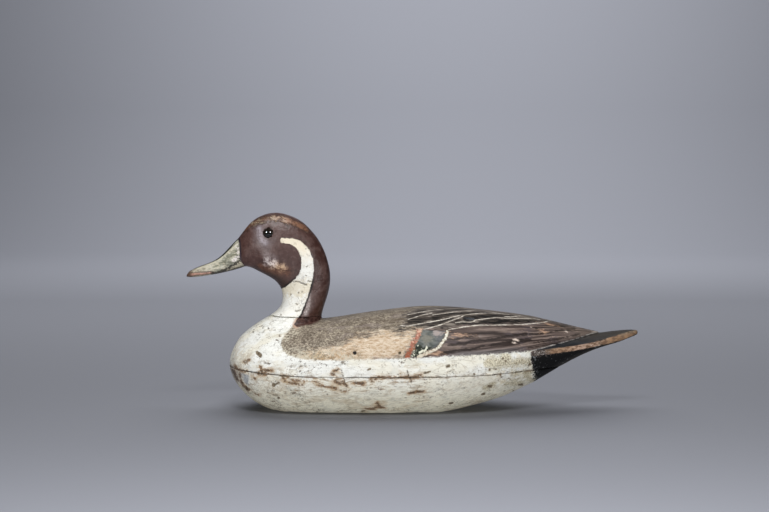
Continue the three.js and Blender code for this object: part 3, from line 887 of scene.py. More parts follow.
INK_DOTS = [
    ([(-140.8, 81)], 0.9), ([(-156, 76.6)], 0.9), ([(-135, 59.3)], 0.8),
    ([(-142.4, 51.8), (-137.5, 51)], 0.7), ([(-117, 49.4)], 0.9), ([(-108.4, 45)], 1), ([(-140, 23)], 0.8),
    ([(-129.2, 75.6)], 1), ([(-132.4, 72.4), (-130, 71.5)], 0.6), ([(-91.2, 5)], 0.8), ([(-44.3, 29)], 0.8),
    ([(-33.2, 28.7)], 0.7), ([(10, 20.4)], 0.9), ([(16.7, 19.4)], 0.9), ([(-7.2, 19)], 0.8),
    ([(-100.7, 45.5)], 0.8), ([(-11.3, 54)], 1), ([(38, 53.8), (40.4, 51.8), (41, 49.4)], 0.5),
    ([(-69, 47.5), (-67.3, 41.4), (-65.7, 35.8), (-64, 30.2)], 0.5),
    ([(-6, 46), (-4.6, 41.3), (-2.8, 38.4), (-2, 35)], 0.8), ([(-164, 26), (-160.6, 22.7)], 0.6),
    ([(-161.5, 24), (-159.8, 22.8)], 1.3),
]
BLUE_WORN = [(-166.5, 39), (-159, 38.6), (-158, 34), (-160, 29), (-163, 30), (-165.5, 34.5)]
HULL_MARKS = {"bare": BARE_SPOTS, "rust": RUST_STAINS, "tan": TAN_STAINS, "grime": GRIME, "ink": INK_DOTS}
FAR_SIDE_TURN = -36  # the far side has the same marks, turned end for end round half of this


def marks_view(places):
    """The side view in which the marks are drawn, for both sides."""
    side = from_the_side(places)
    along = np.where(places[:, 1] < 0, side[:, 0], FAR_SIDE_TURN - side[:, 0])
    return np.column_stack([along, side[:, 1]])


for block in (body_lower, body_upper):
    places = points_of(block)
    view = marks_view(places)
    for name, marks in HULL_MARKS.items():
        keep_field(block, name, marked(view, marks))
    keep_field(block, "blue_worn", deepest(view, [np.array(BLUE_WORN, float)]))
    keep_field(block, "nail_hole", np.min([off_mark(places, x, z) / radius for x, z, radius in NAIL_HOLES],
                                          axis=0))
print("marks placed:", sum(len(marks) for marks in HULL_MARKS.values()))


# %% [markdown]
# ## The white hull
# Both halves share this hull finish: the white coat, then what has happened
# to it. The mask of each stain comes from the mesh and is torn up by noise, so
# that no stain keeps the oval shape it was placed with. A belt at the height
# of the water line has thin rust-brown scratches all round.

# %% The hull's damage, for both halves
SCRATCH_TONES = ((0.16, 0.095, 0.052), (0.40, 0.275, 0.16))
GRIME_TONES = ((0.17, 0.135, 0.075), (0.55, 0.48, 0.32), (0.74, 0.69, 0.53))
TAN_TONES = ((0.40, 0.27, 0.145), (0.60, 0.48, 0.32))
RUST_TONES = ((0.045, 0.026, 0.017), (0.125, 0.070, 0.038), (0.33, 0.20, 0.105))
BLUE_TONES = ((0.22, 0.24, 0.27), (0.50, 0.52, 0.55))
INK_TONES = ((0.030, 0.022, 0.016), (0.14, 0.095, 0.06))
OLD_WOOD_TONES = ((0.11, 0.085, 0.055), (0.24, 0.19, 0.125))
UNDERTAIL_TONES = ((0.0012, 0.0012, 0.0014), (0.30, 0.31, 0.32))


def damaged_white(finish):
    coat = white_coat(finish)
    ragged = finish.clouds(4.5, 2.2, 5, 21, 0.65) - 0.5
    torn = finish.clouds(1.4, 1.6, 4, 22, 0.65) - 0.5
    belt = (finish.up - 32).size().rise(14, 3) * (0.45 + finish.along.rise(20, -20) * 0.55)
    scratches = (finish.clouds(1.5, 7, 5, 23, 0.65) + ragged * 0.7).rise(0.54, 0.62) * belt
    patchy = (torn + 0.5).rise(0.4, 0.6)
    coat.stain(scratches * 0.7, finish.mix(patchy, *SCRATCH_TONES))
    hairlines = finish.clouds(0.9, 14, 4, 26, 0.7).rise(0.56, 0.64)
    hairlines = hairlines * (finish.up - 27).size().rise(22, 8)
    coat.stain(hairlines * (0.25 + finish.along.rise(30, -10) * 0.35), (0.36, 0.27, 0.17))
    grime = (finish.field("grime") + ragged * 14 + torn * 6).rise(-2.5, 3)
    speckle = finish.clouds(1.0, 1.2, 4, 25, 0.7).rise(0.40, 0.60)
    coat.stain(grime * 0.85, finish.tint(speckle, *GRIME_TONES))
    tan = (finish.field("tan") + ragged * 14 + torn * 7).rise(-2, 3)
    coat.stain(tan * 0.6, finish.mix((torn + 0.5).rise(0.38, 0.62), *TAN_TONES))
    rust = (finish.field("rust") + ragged * 6 + torn * 5).rise(-0.8, 0.6)
    halo = (finish.field("rust") + ragged * 10 + torn * 5).rise(-3, 0.5)
    coat.stain(halo * 0.45, (0.44, 0.29, 0.155))
    rust_brown = finish.tint((torn + 0.5).rise(0.40, 0.66), *RUST_TONES)
    coat.stain(rust * 0.9, rust_brown)
    blue = (finish.field("blue_worn") + ragged * 8 + torn * 5).rise(-1, 1.5)
    coat.stain(blue * 0.8, finish.tint(patchy, *BLUE_TONES))
    wood = finish.mix(patchy, *OLD_WOOD_TONES)
    flake_off(coat, finish.field("bare") + ragged * 3 + torn * 2.5, wood)
    seam = finish.field("off_seam")
    open_joint = finish.along.rise(-85, -105) + (finish.along + 14).size().rise(26, 14)
    open_joint = open_joint + finish.along.rise(66, 80) * 0.4
    coat.stain(seam.rise(0.9, 0.2) * (0.12 + open_joint * 0.7), (0.085, 0.065, 0.048))
    dirt = (seam - ragged * 14 - 0.2).rise(0.8, -0.8)
    coat.stain(dirt * 0.55, (0.22, 0.145, 0.085))
    rim = finish.along.rise(-158, -178) * (finish.up - 36 + ragged * 16).size().rise(13, 4)
    coat.stain(rim * (torn + 0.5).rise(0.36, 0.56) * 0.85, (0.15, 0.115, 0.095))
    inked = (finish.field("ink") + torn * 3.5).rise(-0.4, 0.5)
    coat.stain(inked * 0.85, finish.mix(speckle, *INK_TONES))
    return coat


def undertail_coat(finish):
    """Glossy black under the tail."""
    wear = finish.clouds(2.2, 3, 4, 31)
    specks = finish.chips(1.9, 0.36, 32).most(finish.chips(1.7, 0.43, 34, 1.8)
                                              * finish.along.rise(128, 116))
    colour = finish.mix(specks * 0.7, *UNDERTAIL_TONES)
    return Coat(finish, colour, 0.62 + wear * 0.2, wear * 0.12)


def bristled(finish):
    """The reach in millimetres of the brush hairs that ran past the edge of the black under the tail."""
    return (finish.clouds(1.6, 2.4, 4, 33, 0.7) - 0.5) * 20


hull = Finish("aged_white_hull")
coat = damaged_white(hull)
coat.lay((hull.field("undertail") + bristled(hull)).rise(-0.4, 0.4), undertail_coat(hull))
hull_finish = hull.finish_with(coat, HULL_SHINE)
print("hull finish has", len(hull.tree.nodes), "nodes")

# %% [markdown]
# ## The feathered upper half
# The carver painted this half wet on dry, from the plain back towards the
# detail: a stippled grey-brown all over, buff on the wing, the long brown
# flight feathers pulled towards the wing tips with a dry brush, the black
# feathers of the rump, and last the fine cream edges with a liner. The finish
# lays its coats in the same order.

# %% Plain coats of the back and the wing
BACK_TONES = ((0.088, 0.067, 0.048), (0.20, 0.163, 0.122), (0.41, 0.352, 0.275))
BUFF_TONES = ((0.43, 0.30, 0.19), (0.62, 0.50, 0.365), (0.73, 0.635, 0.51))
PRIMARY_TONES = ((0.030, 0.020, 0.017), (0.105, 0.076, 0.066), (0.22, 0.168, 0.143))
BLACK_STROKE_TONES = ((0.0045, 0.0040, 0.0035), (0.070, 0.055, 0.044))
FEATHER_GROUND_TONES = ((0.040, 0.031, 0.026), (0.115, 0.095, 0.080), (0.26, 0.225, 0.19))


def stippled_back(finish):
    """Grey-brown with the broken stipple of a dry brush, and longer strokes towards the tail."""
    broad = finish.clouds(20, 1.8, 4, 41, 0.6)
    stipple = finish.clouds(1.8, 1.3, 6, 42, 0.82)
    hairs = finish.clouds(1.7, 6, 5, 43, 0.7)
    behind = finish.along.rise(-90, -30)
    grain = stipple * (1 - behind * 0.6) + hairs * (behind * 0.6)
    colour = finish.tint(grain.rise(0.38, 0.62), *BACK_TONES)
    coat = Coat(finish, colour, 0.5 + stipple * 0.2, stipple * 0.25 + hairs * 0.12)
    coat.stain(broad.rise(0.48, 0.62) * 0.55, (0.14, 0.106, 0.078))
    lilac = finish.clouds(11, 2, 4, 38, 0.6).rise(0.52, 0.62) * finish.along.rise(-105, -85)
    coat.stain(lilac * 0.5, (0.27, 0.225, 0.20))
    coat.stain(finish.chips(1.6, 0.42, 40, 1.4) * 0.6, (0.060, 0.044, 0.031))
    coat.stain(finish.chips(1.5, 0.43, 39, 1.7) * 0.6, (0.58, 0.51, 0.39))
    return coat


def buff_coat(finish):
    """Buff rubbed into blotches, dirtier towards the breast."""
    streaks = finish.clouds(1.7, 2.6, 5, 44, 0.75)
    broad = finish.clouds(9, 1.8, 5, 45, 0.68)
    colour = finish.tint(streaks.rise(0.36, 0.64), *BUFF_TONES)
    coat = Coat(finish, colour, 0.5 + streaks * 0.15, streaks * 0.25)
    coat.stain(broad.rise(0.40, 0.32) * 0.5, (0.56, 0.36, 0.26))
    front = finish.along.rise(-50, -92)
    coat.stain(broad.rise(0.46, 0.6) * (0.3 + front * 0.5), (0.42, 0.275, 0.15))
    coat.stain(finish.chips(2.6, 0.40, 46, 1.8) * 0.6, (0.24, 0.165, 0.095))
    coat.stain(finish.chips(2.2, 0.45, 47) * front * 0.7, (0.13, 0.10, 0.06))
    return coat


def fanned_streaks(finish, size, seed, waver=0):
    """Noise in long streaks that all run to the wing tip."""
    away = (finish.along * -1 + 205).most(12)
    slope = (finish.up - 75.5 + waver) / away
    vector = finish.node("ShaderNodeCombineXYZ",
                         feeds={0: slope * (120 / size), 1: finish.along / 60, 2: seed})
    return finish.noise_at(vector, 4, 0.6)


def primaries_coat(finish):
    """Long brown flight feathers, dark between, rubbed to pink-brown on their ridges."""
    waver = (finish.clouds(24, 2, 2, 50) - 0.5) * 5
    streaks = fanned_streaks(finish, 2.0, 51, waver)
    broad = finish.clouds(13, 2.2, 3, 52)
    fine = finish.clouds(1.4, 5, 4, 53, 0.65)
    colour = finish.tint(streaks.rise(0.36, 0.64), *PRIMARY_TONES)
    coat = Coat(finish, colour, 0.38 + fine * 0.22, streaks * 0.35 + fine * 0.12)
    coat.stain(broad.rise(0.5, 0.62) * 0.5, (0.080, 0.064, 0.074))
    coat.stain(fanned_streaks(finish, 0.9, 55, waver).rise(0.44, 0.36) * 0.5, (0.022, 0.015, 0.013))
    worn = (streaks * 0.6 + broad * 0.5 + fine * 1.1 - 1.2).rise(0, 0.16)
    coat.stain(worn * 0.7, (0.36, 0.265, 0.21))
    cool = finish.field("white").rise(-6, -2) * finish.along.rise(20, 50) * finish.along.rise(112, 96)
    coat.stain(cool * streaks.rise(0.3, 0.6) * 0.7, (0.16, 0.155, 0.16))
    dark = (finish.field("flight_streaks") + (fine - 0.5) * 5 + (broad - 0.5) * 3).rise(-0.6, 0.7)
    coat.stain(dark * 0.85, (0.016, 0.010, 0.008))
    return coat


def black_feathers(finish):
    """Grey-brown feathers with black strokes under their cream edges."""
    streaks = finish.clouds(1.8, 9, 4, 54, 0.6)
    torn = finish.clouds(3, 3, 5, 56, 0.65) - 0.5
    ground = finish.tint(streaks.rise(0.36, 0.64), *FEATHER_GROUND_TONES)
    frayed = 6 + finish.along.rise(14, -2) * 14
    black = (finish.field("black_strokes") + (streaks - 0.5) * frayed + torn * 6).rise(-1.3, 0.4)
    stroke = finish.tint(streaks.rise(0.44, 0.66), *BLACK_STROKE_TONES)
    return Coat(finish, finish.mix(black * 0.95, ground, stroke), 0.45 + streaks * 0.25,
                streaks * 0.25 - black * 0.15)


def plain_coat(finish, dark, light, size, seed, roughness=0.45, stretch=4):
    """One colour of paint, brushed along the body."""
    brushed = finish.clouds(size, (stretch, 1, 1), 4, seed, 0.6)
    return Coat(finish, finish.tint(brushed.rise(0.32, 0.68), dark, light), roughness + brushed * 0.15,
                brushed * 0.2)


# %% Spots that show on the near wing
# The two pale spots on top at the wing tip are painted highlights; the other pale spots are chips of paint.
WING_SPOTS = {  # x, y, z, reach along the wing, reach across it
    "peach": [(43, -57, 78.6, 4.5, 2), (50, -55, 78.4, 9, 0.6), (134, -15.8, 84.2, 6, 1.4),
              (126.5, -27.2, 79, 3, 1.7), (22, -70, 62, 6, 2.4)],
    "chip_and_highlight": [(99.4, -45, 72, 5.5, 1.5), (98, -47, 69.6, 4.5, 0.9), (115.4, -28, 82.8, 1.2, 0.9),
             (150.6, -18.3, 77.4, 2.2, 1.2), (178.5, -2.4, 77, 4, 3), (170, -3, 79, 4, 2)],
    "pit": [(62.7, -53, 76.4, 1.2, 1.2), (120.6, -27.3, 81.5, 2, 1.2), (148, -12.8, 81.6, 3.4, 1.6),
            (191.7, -14.7, 66, 1.6, 1),
            (208, -9.4, 73.3, 2.4, 1)],
}
PATCH_WEDGE = [
    (-4, 58.3), (-0.3, 65.4), (1.6, 69.4), (6.4, 70), (9.3, 67.1), (13, 68.5), (17, 68), (20, 69.5),
    (14, 63.9), (9.2, 60.7), (3.5, 59),
]
WEDGE_FLECKS = [
    ([(4.5, 69.2)], 0.7), ([(3.5, 65.3)], 0.7), ([(0.4, 65.4), (1, 63.5)], 0.6), ([(0.2, 61.2)], 0.8),
    ([(5.9, 62.6), (7.3, 63.5), (8.8, 64.9)], 0.9), ([(10.7, 63.9), (12.1, 66.2), (13, 68)], 0.9),
]
SMUDGE = [(19, 79.5), (20, 82.5), (26, 83), (29.5, 80.2), (26.7, 77.7), (21, 77.3)]
places = points_of(body_upper)
side = from_the_side(places)
keep_field(body_upper, "wedge", deepest(side, [np.array(PATCH_WEDGE, float)]))
keep_field(body_upper, "smudge", deepest(side, [np.array(SMUDGE, float)]))
keep_field(body_upper, "wedge_flecks", marked(side, WEDGE_FLECKS))
for name, spots in WING_SPOTS.items():
    depths = []
    for x, y, z, along, across in spots:
        off_middle = np.linalg.norm((places - (x, y, z)) / (along / across, 1, 1), axis=1)
        depths.append(across - off_middle)
    keep_field(body_upper, name, np.max(depths, axis=0))
print("wing spots:", sum(len(spots) for spots in WING_SPOTS.values()))

# %% Lay the coats of the upper half
FEATHER_LINE_TONES = ((0.42, 0.37, 0.31), (0.82, 0.76, 0.67))
PEACH_TONES = ((0.15, 0.085, 0.060), (0.60, 0.385, 0.255))
TRAIL_TONES = ((0.60, 0.56, 0.44), (0.86, 0.84, 0.74))
SALMON_TONES = ((0.48, 0.185, 0.13), (0.36, 0.10, 0.045))
SLATE_TONES = ((0.014, 0.015, 0.017), (0.105, 0.112, 0.125))
WEDGE_TONES = ((0.004, 0.007, 0.003), (0.022, 0.030, 0.016))
PATCH_GREEN_TONES = ((0.062, 0.072, 0.064), (0.155, 0.162, 0.148))

feathers = Finish("feathered_upper_half")
ragged = feathers.clouds(3.2, 1.8, 5, 61, 0.6) - 0.5
fuzzy = feathers.clouds(8, 2.2, 5, 62, 0.6) - 0.5
fine = feathers.clouds(1.2, 1.4, 3, 63, 0.6) - 0.5

coat = stippled_back(feathers)
on_buff = (feathers.field("buff") + fuzzy * 20 + ragged * 14 + fine * 9).rise(-2.5, 4.5)
coat.lay(on_buff, buff_coat(feathers))
on_primaries = (feathers.field("primaries") + ragged * 3).rise(-0.4, 0.6)
coat.lay(on_primaries, primaries_coat(feathers))
streaky = feathers.clouds(1.6, 6, 4, 60, 0.6) - 0.5
front_ends = feathers.along.rise(16, -4)
on_tertials = (feathers.field("tertials") + ragged * 9 + streaky * (14 + front_ends * 50)).rise(-1.5, 2.5)
coat.lay(on_tertials, black_feathers(feathers))
on_slate = (feathers.field("slate_feather") + fine * 8 + ragged * 12 + streaky * 8).rise(-1, 1.6)
coat.lay(on_slate * 0.9, plain_coat(feathers, *SLATE_TONES, 1.2, 64, 0.4, 3))
on_patch = (feathers.field("patch") + ragged * 2.5).rise(-0.3, 0.5)
patch_coat = plain_coat(feathers, *PATCH_GREEN_TONES, 3.5, 65, 0.42, 1.3)
blue_part = (feathers.along + (fuzzy + ragged) * 16).rise(15, 24)
patch_coat.stain(blue_part * 0.6, (0.085, 0.090, 0.105))
middle_part = ((feathers.along - 12).size() + (feathers.up - 76).size() + fuzzy * 16).rise(8, 3)
patch_coat.stain(middle_part * 0.5, (0.235, 0.215, 0.165))
deep_green = plain_coat(feathers, *WEDGE_TONES, 2, 66, 0.45, 1.3)
wedge = (feathers.field("wedge") + ragged * 3 + fine * 3).rise(-0.6, 0.6)
patch_coat.lay(wedge, deep_green)
flecks = feathers.field("wedge_flecks") + fine * 3 + ragged * 2
patch_coat.stain((flecks.rise(-0.3, 0.3)).most(wedge * feathers.chips(1.6, 0.38, 67)), (0.72, 0.72, 0.58))
smudge = (feathers.field("smudge") + ragged * 9 + fine * 6).rise(-1.2, 2)
patch_coat.stain(smudge * 0.75, (0.42, 0.355, 0.33))
coat.lay(on_patch, patch_coat)
on_bar = (feathers.field("bar") + ragged * 9 + fine * 7).rise(-0.6, 0.9)
salmon = feathers.mix(feathers.up.rise(72, 62), *SALMON_TONES)
bar_coat = plain_coat(feathers, (0.25, 0.085, 0.045), salmon, 1.8, 68, 0.45, 1)
bar_coat.stain(feathers.chips(1.8, 0.45, 79) * 0.8, (0.70, 0.46, 0.33))
bar_coat.stain(feathers.chips(2.0, 0.40, 80) * 0.8, (0.13, 0.11, 0.05))
coat.lay(on_bar, bar_coat)
foot = (feathers.along + ragged * 8).rise(22, 12)
on_trail = (feathers.field("trailing_edge") - foot * 0.4 + fine * 3 + ragged * 2.5).rise(1.4, 0.8)
coat.stain((feathers.field("trailing_edge") + fine * 2).rise(2.6, 1.6) * 0.6, (0.10, 0.075, 0.05))
coat.lay(on_trail, plain_coat(feathers, *TRAIL_TONES, 2, 69, 0.45, 1))
coat.stain(on_trail * foot * 0.6, (0.60, 0.51, 0.38))
coat.stain(on_trail * feathers.chips(1.8, 0.43, 70) * 0.75, (0.25, 0.20, 0.14))
rubbed = (feathers.field("peach") + ragged * 9 + fine * 5 + streaky * 8).rise(-2.6, 2.2)
coat.stain(rubbed * 0.75, feathers.mix((streaky + 0.5).rise(0.38, 0.62), *PEACH_TONES))
# Pale spots, partly chips and partly painted highlights at the wing tip, then dark pits.
for mark, colour in (("chip_and_highlight", (0.74, 0.62, 0.53)), ("pit", (0.010, 0.008, 0.006))):
    shape = (feathers.field(mark) + ragged * 2.5 + fine * 2).rise(-0.5, 0.9)
    coat.stain(shape * 0.95, colour)
on_lines = (feathers.field("feather_lines") + fine * 1.6).rise(0.95, 0.4)
on_lines = on_lines * feathers.clouds(6, 3, 3, 71).rise(0.28, 0.44)
line_coat = plain_coat(feathers, *FEATHER_LINE_TONES, 3, 72)
line_coat.relief = line_coat.relief + 0.3
coat.lay(on_lines * 0.92, line_coat)
print("coats on the back laid")

# %% Lay the tail, the white and the nape on the upper half
BAND_TONES = ((0.42, 0.27, 0.17), (0.52, 0.36, 0.27))
NAPE_TONES = ((0.034, 0.014, 0.011), (0.085, 0.042, 0.034))
GOLDEN_TONES = ((0.085, 0.062, 0.030), (0.50, 0.35, 0.18))
TAIL_TOP_TONES = ((0.008, 0.009, 0.011), (0.020, 0.021, 0.025))

on_tail = (feathers.field("tail_top") + ragged * 0.8).rise(-0.3, 0.3)
coat.lay(on_tail, plain_coat(feathers, *TAIL_TOP_TONES, 6, 73, 0.5))
tip_tone = feathers.along.rise(178, 198)
middle_tone = (feathers.along - 172).size().rise(28, 6)
band_light = feathers.mix(middle_tone, *BAND_TONES)
band_light = feathers.mix(tip_tone, band_light, (0.40, 0.23, 0.12))
band_wood = plain_coat(feathers, (0.17, 0.095, 0.055), band_light, 1.9, 74, 0.42, 6)
grey_top = feathers.along.rise(200, 210) * feathers.field("tail_top").rise(-3, -0.5)
band_wood.stain(grey_top * 0.6, (0.22, 0.18, 0.13))
band_wood.stain(feathers.chips(4, 0.42, 75, 2.5) * 0.7, (0.10, 0.070, 0.040))
band_wood.stain(feathers.chips(3, 0.41, 81, 3) * middle_tone * 0.9, (0.72, 0.58, 0.47))
worn_root = (feathers.along + ragged * 20).rise(138, 126)
band_wood.stain(worn_root * 0.9, (0.035, 0.030, 0.028))
scraped = feathers.clouds(0.9, 1.8, 4, 82, 0.75).rise(0.50, 0.60)
scraped = scraped * feathers.clouds(5, detail=3, seed=76).rise(0.44, 0.56)
band_wood.stain(worn_root * scraped * 0.9, (0.50, 0.46, 0.43))
on_band = (feathers.field("tail_band") + ragged * 2).rise(-0.3, 0.5)
coat.lay(on_band, band_wood)
under_edge = (feathers.field("undertail") + bristled(feathers)
              * (feathers.up.rise(60, 50) * 0.8 + 0.2)).rise(-0.4, 0.4)
coat.lay(under_edge, undertail_coat(feathers))
worn_line = (feathers.field("wing_edge") + fine * 0.8).rise(0.75, 0.3)
coat.lay(worn_line * 0.8, plain_coat(feathers, (0.20, 0.18, 0.17), (0.45, 0.42, 0.39), 3, 77))
near_white = feathers.field("white").size().rise(13, 2) * feathers.along.rise(-40, -70)
coat.stain(near_white * feathers.chips(1.7, 0.5, 59, (1, 1, 1.6)) * 0.85, (0.58, 0.53, 0.42))
ridge_line = (feathers.across.size() + fuzzy * 14).rise(26, 6)
coat.stain(ridge_line * (1 - on_tertials * 0.7) * 0.35, (0.10, 0.082, 0.062))
golden = (feathers.along + 90).size() + (feathers.up - 59).size() * 2 + ragged * 50 + fine * 20
coat.stain(golden.rise(18, 6) * 0.55, feathers.mix((fine + 0.5).rise(0.4, 0.6), *GOLDEN_TONES))
on_white = (feathers.field("white") + ragged * 4 + fine * 4).rise(-0.9, 1.1)
coat.lay(on_white, damaged_white(feathers))
hole = (feathers.field("nail_hole") + fine * 0.8).rise(1.25, 0.75)
coat.stain(hole, feathers.mix(feathers.along.rise(-40, -30), (0.010, 0.008, 0.007), (0.070, 0.055, 0.028)))
nape_edge = feathers.field("nape") + ragged * 3 + fine * 2
bare_spot = nape_edge.rise(-2.8, -0.6) * feathers.along.rise(-109, -113)
coat.stain(bare_spot * 0.8, (0.50, 0.33, 0.24))
nape_coat = plain_coat(feathers, *NAPE_TONES, 4, 78, 0.30, 1)
coat.lay(nape_edge.rise(-0.5, 0.5), nape_coat)
feather_finish = feathers.finish_with(coat, FEATHER_SHINE)
print("feather finish has", len(feathers.tree.nodes), "nodes")

# %% [markdown]
# ## The head
# The brown of the head is thick, dark and polished by hands. It has gone from
# the ridges first: along both sides of the crown and on the cheeks the
# coppery wood comes through, and a painted white and gold highlight lies on
# each cheek. Painted highlights also lie beside each eye and down the nape,
# and painted shade under the cheeks and round each eye. The bill is a separate
# grey-green coat that stops at a cut line, with a dark mouth and a pinkish rub
# along its edge, a painted highlight along its ridge, painted shade in its
# valley and a painted shadow along its underside.

# %% Lay the coats of the head
BROWN_TONES = ((0.076, 0.038, 0.032), (0.050, 0.022, 0.018))
CHEEK_HIGHLIGHT_TONES = ((0.27, 0.20, 0.19), (0.86, 0.77, 0.75))
CHEEK_GOLD_HIGHLIGHT_TONES = ((0.26, 0.13, 0.07), (0.78, 0.54, 0.34))
CHEEK_COPPER_TONES = ((0.085, 0.030, 0.015), (0.20, 0.082, 0.042))
CROWN_WOOD_TONES = ((0.40, 0.325, 0.225), (0.37, 0.25, 0.175), (0.33, 0.165, 0.10))

skull = Finish("painted_head")
broad = skull.clouds(13, 1, 5, 81, 0.6)
middle = skull.clouds(4, 1, 5, 82, 0.6)
fine = skull.clouds(1.2, 1, 4, 83, 0.6) - 0.5

nape = (skull.along + (broad - 0.5) * 20).rise(-118, -96)
colour = skull.mix(nape, *BROWN_TONES)
coat = Coat(skull, colour, 0.27 + middle * 0.18, broad * 1.2 + middle * 0.4 + fine * 0.10)
chestnut = (skull.up + (broad - 0.5) * 30).rise(118, 96)
coat.stain(chestnut * 0.6, (0.070, 0.026, 0.017))
coat.stain(broad.rise(0.45, 0.62) * 0.6, (0.115, 0.068, 0.060))
coat.stain(middle.rise(0.54, 0.66) * 0.3, (0.18, 0.12, 0.105))
coat.stain(middle.rise(0.45, 0.36) * 0.5, (0.030, 0.013, 0.010))
# Painted shade: the underside of the cheek is darkened to near black, where shade falls under the head.
chin_shade = (skull.field("chin_shade") + (broad - 0.5) * 12 + (middle - 0.5) * 8).rise(-4, 4)
coat.stain(chin_shade * 0.85, (0.022, 0.009, 0.006))
speckled = (middle + fine * 0.9).rise(0.38, 0.58)
# Painted highlights: the sheen beside each eye, on the cheek and down the nape is painted into the brown as
# lighter colour.
for path, reach, near, colour_there in (
    ("brow_sheen", 11, 0.65, (0.17, 0.14, 0.148)), ("brow_sheen", 4.5, 0.8, (0.35, 0.31, 0.335)),
    ("cheek_sheen", 6, 0.75, (0.24, 0.19, 0.185)), ("nape_sheen", 6, 0.75, (0.22, 0.17, 0.16)),
    ("nape_sheen", 3, 0.9, (0.50, 0.43, 0.41)),
):
    sheen = (skull.field(path) + (middle - 0.5) * 6).rise(reach, reach * 0.1) * (0.35 + speckled * 0.65)
    coat.stain(sheen * near, colour_there)
ridge = skull.field("crown_ridge") + (middle - 0.5) * 8 + fine * 5
coat.stain(ridge.rise(7, 4.5) * 0.6, (0.035, 0.016, 0.011))
coat.stain(ridge.rise(4.2, 1.6) * 0.9, (0.13, 0.060, 0.035))
towards_nape = (skull.along + (middle - 0.5) * 24).rise(-154, -108)
tan_wood = skull.tint(towards_nape, *CROWN_WOOD_TONES)
tan_wood = skull.mix((fine + 0.5).rise(0.54, 0.40) * 0.5, tan_wood, (0.19, 0.12, 0.075))
flecks = skull.chips(1.6, 0.54, 84, 1.5) * ridge.rise(5.2, 2.2) * skull.along.rise(-162, -157)
coat.lay(flecks * (0.9 - skull.along.rise(-130, -108) * 0.45),
         Coat(skull, tan_wood, 0.36 + fine * 0.2, middle * 0.2 + 0.1))
rough_edge = (middle - 0.5) * 7 + fine * 4
copper = (skull.field("cheek_copper") + rough_edge + (broad - 0.5) * 8).rise(-4, 3)
coat.stain(copper * (0.65 - chin_shade * 0.4), skull.mix(speckled, *CHEEK_COPPER_TONES))
# Painted highlights on each cheek: a gold one over the rubbed wood, and a white one at its brightest point.
gold = (skull.field("cheek_gold_highlight") + rough_edge).rise(-5, 3.5)
coat.stain(gold * 0.85, skull.mix(speckled, *CHEEK_GOLD_HIGHLIGHT_TONES))
pale = (skull.field("cheek_white_highlight") + rough_edge).rise(-5.5, 3)
coat.stain(pale * 0.85, skull.mix(speckled, *CHEEK_HIGHLIGHT_TONES))
# Painted shade: a dark ring round each eye stands for the shadow in the socket's rim.
socket_shade = (skull.field("eye_socket") + (middle - 0.5) * 3).rise(6.4, 5.4)
coat.stain(socket_shade * 0.8, (0.030, 0.018, 0.015))

warm = white_coat(skull)
warm.stain(0.55, (0.92, 0.91, 0.85))
warm.stain((skull.up + (middle - 0.5) * 24).rise(138, 164) * 0.75, (0.84, 0.73, 0.54))
crazed = skull.cracks(6.5, 0.05, 85, 1.3) * (skull.up - 116).size().rise(20, 8)
warm.stain(crazed * 0.4, (0.32, 0.25, 0.15))
yellowed = (skull.up - 119 + (middle - 0.5) * 30).size().rise(11, 3)
warm.stain(yellowed * 0.55, (0.66, 0.57, 0.39))
inked = (skull.field("neck_marks") + fine * 3 + (middle - 0.5) * 2).rise(-0.5, 0.5)
warm.stain(inked * 0.8, (0.15, 0.12, 0.075))
edge = skull.field("white") + (middle - 0.5) * 2.4 + fine * 1.4
coat.stain(edge.rise(-2.4, -1) * edge.rise(0.3, -0.3) * skull.up.rise(136, 124) * 0.9,
           (0.010, 0.007, 0.006))
coat.lay(edge.rise(-0.4, 0.5), warm)
print("head and stripe laid")

# %% Lay the bill
JAW_TONES = ((0.28, 0.235, 0.165), (0.52, 0.45, 0.345))
BILL_TONES = ((0.13, 0.13, 0.095), (0.27, 0.27, 0.21), (0.47, 0.455, 0.37))

streaks = skull.clouds(2.6, 2.2, 5, 87, 0.65)
chalky = skull.clouds(1.5, 1.5, 4, 88, 0.65)
colour = skull.tint(streaks.rise(0.36, 0.64), *BILL_TONES)
bill_coat = Coat(skull, colour, 0.34 + streaks * 0.2, streaks * 0.25 + chalky * 0.12)
beige = ((skull.along + (streaks - 0.5) * 30).rise(-194, -206)).most(skull.field("jaw").rise(-0.5, 0.5))
bill_coat.stain(beige * 0.6, skull.mix(chalky.rise(0.4, 0.6), *JAW_TONES))
# Painted shade: the carved valley of the bill is darkened.
hollow_shade = (skull.field("bill_hollow") + (chalky - 0.5) * 7).rise(3.4, 0.8)
bill_coat.stain(hollow_shade * 0.7, (0.145, 0.145, 0.098))
# Painted highlight: a pale cream line along the carved ridge of the bill.
ridge = (skull.field("bill_ridge") + (chalky - 0.5) * 6).rise(1.9, 0.2)
bill_coat.stain(ridge * 0.85, (0.60, 0.58, 0.45))
scraped = skull.chips(2.2, 0.47, 89, (2.2, 1, 0.7), 0.7)
bill_coat.stain(scraped * 0.6, (0.56, 0.51, 0.39))
scored = skull.chips(1.6, 0.42, 90, (2.4, 1, 0.7), 0.7)
bill_coat.stain(scored * 0.5, (0.11, 0.105, 0.070))
thick_line = skull.along.rise(-197, -191) * skull.along.rise(-175, -179) * 2.2
black_line = (skull.field("culmen") - thick_line + (chalky - 0.5) * 3).rise(4.4, 3.2)
bill_coat.stain(black_line * 0.92, (0.012, 0.012, 0.010))
near_tip = skull.along.rise(-192, -199)
rim_off = skull.field("bill_rim") + (chalky - 0.5) * 3
bill_coat.stain(rim_off.rise(3, 1.8) * near_tip * 0.8, (0.075, 0.045, 0.030))
